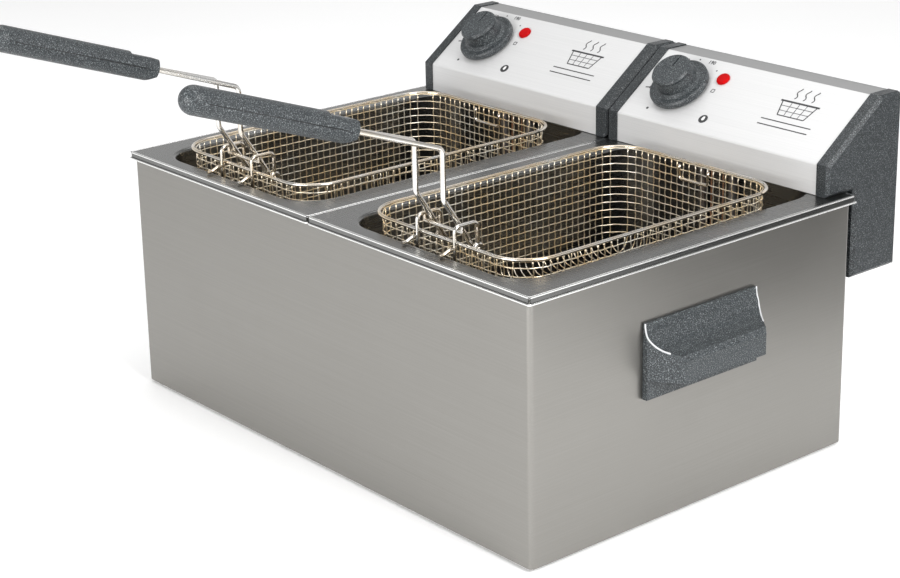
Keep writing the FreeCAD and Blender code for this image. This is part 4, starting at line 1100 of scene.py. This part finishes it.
@dataclass
class FoldingHandle:
    """One basket handle: its bent wires and its moulded grip."""

    side: Side
    finishes: Finishes
    middle_x: float = 0.1365
    grip_start: tuple[float, float] = (-0.05806 + FRONT_Y, 0.33911)
    tilt: float = math.radians(19.3)
    radius: float = 0.011
    seam_radius: float = 0.00035
    seam_sides: int = 8
    seam_from: float = 0.011
    seam_to: float = 0.140

    def add_seams(self) -> None:
        """Fine parting lines along both flanks of the grip."""
        word = self.side.word
        start_y, start_z = self.grip_start
        maker = MeshMaker()
        for flank in (-1, 1):
            x = self.side.value * self.middle_x + flank * self.radius
            path = [Vector((x, start_y - reach * math.cos(self.tilt), start_z + reach * math.sin(self.tilt)))
                    for reach in (self.seam_from, self.seam_to)]
            maker.tube(path, self.seam_radius, self.seam_sides)
        made = maker.finish(f"{word}_grip_seams", smooth=True)
        self.finishes.dress(made, "seam")
        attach(made, f"{word}_handle")

    def add(self) -> None:
        """Dress the handle's packed wires and grip."""
        word = self.side.word
        self.add_seams()
        self.finishes.dress(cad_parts[f"{word}_handle_wire"], "rod")
        self.finishes.dress(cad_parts[f"{word}_handle_grip"], "plastic")
        LOG.info("%s folding handle dressed", word)


@dataclass
class Housing:
    """The steel box with its pans, side handles and feet."""

    finishes: Finishes
    half_width: float = 0.270
    middle_y: float = 0.183 + FRONT_Y
    grip_half: float = 0.064
    grip_top: float = 0.176
    grip_plate: float = 0.005
    grip_reach: float = 0.030
    grip_taper: float = 0.018
    scoop_start: float = 0.0025
    scoop_reach: float = 0.0215
    scoop_drop: float = 0.023
    scoop_turn: float = 80.0
    scoop_steps: int = 16
    taper_over: float = 0.001
    edge_radius: float = 0.0007
    edge_sides: int = 8

    def scoop_edge(self, sign: int, end: int) -> list[Vector]:
        """Line where a grip's scoop meets its tapered end.

        Args:
            sign: which side wall, -1 or 1.
            end: front end -1 or rear end 1.

        Returns:
            The points from the top down.
        """
        points = []
        taper_length = self.grip_reach + self.taper_over - self.grip_plate
        for step in range(self.scoop_steps + 1):
            turned = math.radians(self.scoop_turn * step / self.scoop_steps)
            out = self.scoop_start + self.scoop_reach * (1.0 - math.cos(turned))
            down = self.scoop_drop * math.sin(turned)
            past = max(out - self.grip_plate, 0.0) / taper_length
            along = self.grip_half - self.grip_taper * past
            points.append(Vector((sign * (self.half_width + out), self.middle_y + end * along,
                                  self.grip_top - down)))
        return points

    def add_scoop_edges(self) -> None:
        """Thin pale ridge at both ends of each side grip's scoop, a painted highlight along the scoop's
        edges.
        """
        for side in Side:
            maker = MeshMaker()
            for end in (-1, 1):
                maker.tube(self.scoop_edge(side.value, end), self.edge_radius, self.edge_sides)
            made = maker.finish(f"{side.word}_grip_edges", smooth=True)
            self.finishes.dress(made, "ridge")
            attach(made, "housing")

    def add(self) -> None:
        """Dress the housing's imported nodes."""
        looks = {"housing_shell": "housing", "base_plate": "inner", "centre_beam": "inner",
                 "rubber_feet": "rubber", "left_side_handle": "plastic", "right_side_handle": "plastic",
                 "grip_screws": "fixing", "left_oil_pan": "pan", "right_oil_pan": "pan"}
        for node, look in looks.items():
            self.finishes.dress(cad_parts[node], look)
        self.add_scoop_edges()
        LOG.info("housing: %d nodes dressed", len(looks))


# ------------------------------------------------------------------ studio


@dataclass
class Studio:
    """Plain pale floor, soft lights and the camera."""

    camera_place: tuple[float, float, float] = (1.3613, -1.1061, 0.7585)
    azimuth: float = math.radians(50.053)
    elevation: float = math.radians(18.381)
    roll: float = math.radians(-1.124)
    lens: float = 84.94
    shift_y: float = -0.05
    sensor_width: float = 36.0
    clip_start: float = 0.05
    floor_half: float = 6.0
    low_sky: float = 1.0
    high_sky: float = 0.3
    sky_stops: tuple[float, float] = (0.1, 0.75)
    floor_tone: float = 0.95
    floor_glow: float = 0.14
    card_tone: float = 0.06
    card_level: float = 0.012
    card_reach: tuple[Point, Point] = ((0.52, 0.36), (1.5, 1.5))
    sheet_thickness: float = 0.01
    light_target: tuple[float, float, float] = (0.0, 0.0, 0.15)
    softboxes: tuple[tuple[str, Point, tuple[float, float], float], ...] = (
        ("key_softbox", (0.4, -2.4, 0.7), (1.6, 1.0), 42.0),
        ("side_softbox", (1.5, 0.0, 1.1), (0.8, 0.8), 22.0),
        ("floor_softbox", (-0.3, 0.4, 3.0), (3.0, 3.0), 48.0))

    def aim(self) -> Matrix:
        """The camera's turn.

        Returns:
            A 4x4 matrix with its right, up and back directions.
        """
        flat = math.cos(self.elevation)
        forward = Vector((-math.sin(self.azimuth) * flat, math.cos(self.azimuth) * flat,
                          -math.sin(self.elevation)))
        right = forward.cross(Vector((0.0, 0.0, 1.0))).normalized()
        upward = right.cross(forward)
        cosine, sine = math.cos(self.roll), math.sin(self.roll)
        rolled_right = right * cosine + upward * sine
        rolled_up = upward * cosine - right * sine
        return Matrix((rolled_right, rolled_up, -forward)).transposed().to_4x4()

    def add_camera(self) -> None:
        """Place the camera and make it the scene's own."""
        data = bpy.data.cameras.new("camera")
        data.lens = self.lens
        data.sensor_width = self.sensor_width
        data.shift_y = self.shift_y
        data.clip_start = self.clip_start
        made = bpy.data.objects.new("camera", data)
        made.matrix_world = Matrix.Translation(self.camera_place) @ self.aim()
        bpy.context.scene.collection.objects.link(made)
        bpy.context.scene.camera = made

    def add_sheet(self, name: str, low: Point, high: Point, top: float, tone: float,
                  glow: float = 0.0) -> bpy.types.Object:
        """A flat rectangular sheet for the studio.

        Args:
            name: its name.
            low: its corner with the least X and Y.
            high: the opposite corner.
            top: height of its upper face.
            tone: its grey value.
            glow: how much light it gives off.

        Returns:
            The sheet.
        """
        thickness = self.sheet_thickness
        maker = MeshMaker()
        corners = [low, (high[0], low[1]), high, (low[0], high[1])]
        maker.plate(corners, thickness, lambda x, y, z: Vector((x, y, z + top - thickness)))
        sheet = maker.finish(name, smooth=False)
        graph = Graph(name)
        cloud = graph.noise((3.0, 3.0, 3.0), detail=2.0)
        stops = [(NOISE_LOW, (tone, tone, tone)), (NOISE_HIGH, shade((tone, tone, tone), 1.02))]
        graph.link(graph.ramp(cloud, stops), graph.shader.inputs["Base Color"])
        graph.fix(Roughness=0.9, Emission_Strength=glow)
        sheet.data.materials.append(graph.material)
        return sheet

    def add_light(self, name: str, place: Point, size: tuple[float, float], power: float) -> None:
        """A soft rectangular light that points at the fryer.

        Args:
            name: the light's name.
            place: where it hangs.
            size: its width and height.
            power: its power in watts.
        """
        data = bpy.data.lights.new(name, type="AREA")
        data.shape = "RECTANGLE"
        data.size, data.size_y = size
        data.energy = power
        made = bpy.data.objects.new(name, data)
        toward = Vector(self.light_target) - Vector(place)
        made.matrix_world = Matrix.Translation(place) @ toward.to_track_quat("-Z", "Y").to_matrix().to_4x4()
        bpy.context.scene.collection.objects.link(made)

    def sky(self) -> bpy.types.World:
        """Room light that is pale near the floor and dim overhead.

        Returns:
            The world.
        """
        world = bpy.data.worlds.new("studio")
        world.use_nodes = True
        tree = world.node_tree
        place = tree.nodes.new("ShaderNodeTexCoord")
        parts = tree.nodes.new("ShaderNodeSeparateXYZ")
        ramp = tree.nodes.new("ShaderNodeValToRGB")
        tones = (self.low_sky, self.high_sky)
        for element, stop, tone in zip(ramp.color_ramp.elements, self.sky_stops, tones):
            element.position = stop
            element.color = (tone, tone, tone, 1.0)
        tree.links.new(place.outputs["Generated"], parts.inputs["Vector"])
        tree.links.new(parts.outputs["Z"], ramp.inputs["Fac"])
        tree.links.new(ramp.outputs["Color"], tree.nodes["Background"].inputs["Color"])
        return world

    def add(self) -> None:
        """Set up the world, floor, lights and camera."""
        bpy.context.scene.world = self.sky()
        half = self.floor_half
        self.add_sheet("studio_floor", (-half, -half), (half, half), 0.0, self.floor_tone, self.floor_glow)
        card = self.add_sheet("studio_card", *self.card_reach, self.card_level, self.card_tone)
        card.visible_camera = card.visible_shadow = card.visible_diffuse = False
        for name, place, size, power in self.softboxes:
            self.add_light(name, place, size, power)
        self.add_camera()
        bpy.context.scene.view_settings.view_transform = "Standard"
        LOG.info("studio ready")


def main() -> None:
    """Build and dress the whole fryer."""
    logging.basicConfig(level=logging.INFO, format="%(name)s: %(message)s")
    finishes = Finishes()
    Housing(finishes).add()
    for side in Side:
        PanEdges(side, finishes).add()
        WovenBasket(side, finishes).add()
        FoldingHandle(side, finishes).add()
        ControlHead(side, finishes).add()
    Studio().add()


if __name__ == "__main__":
    main()
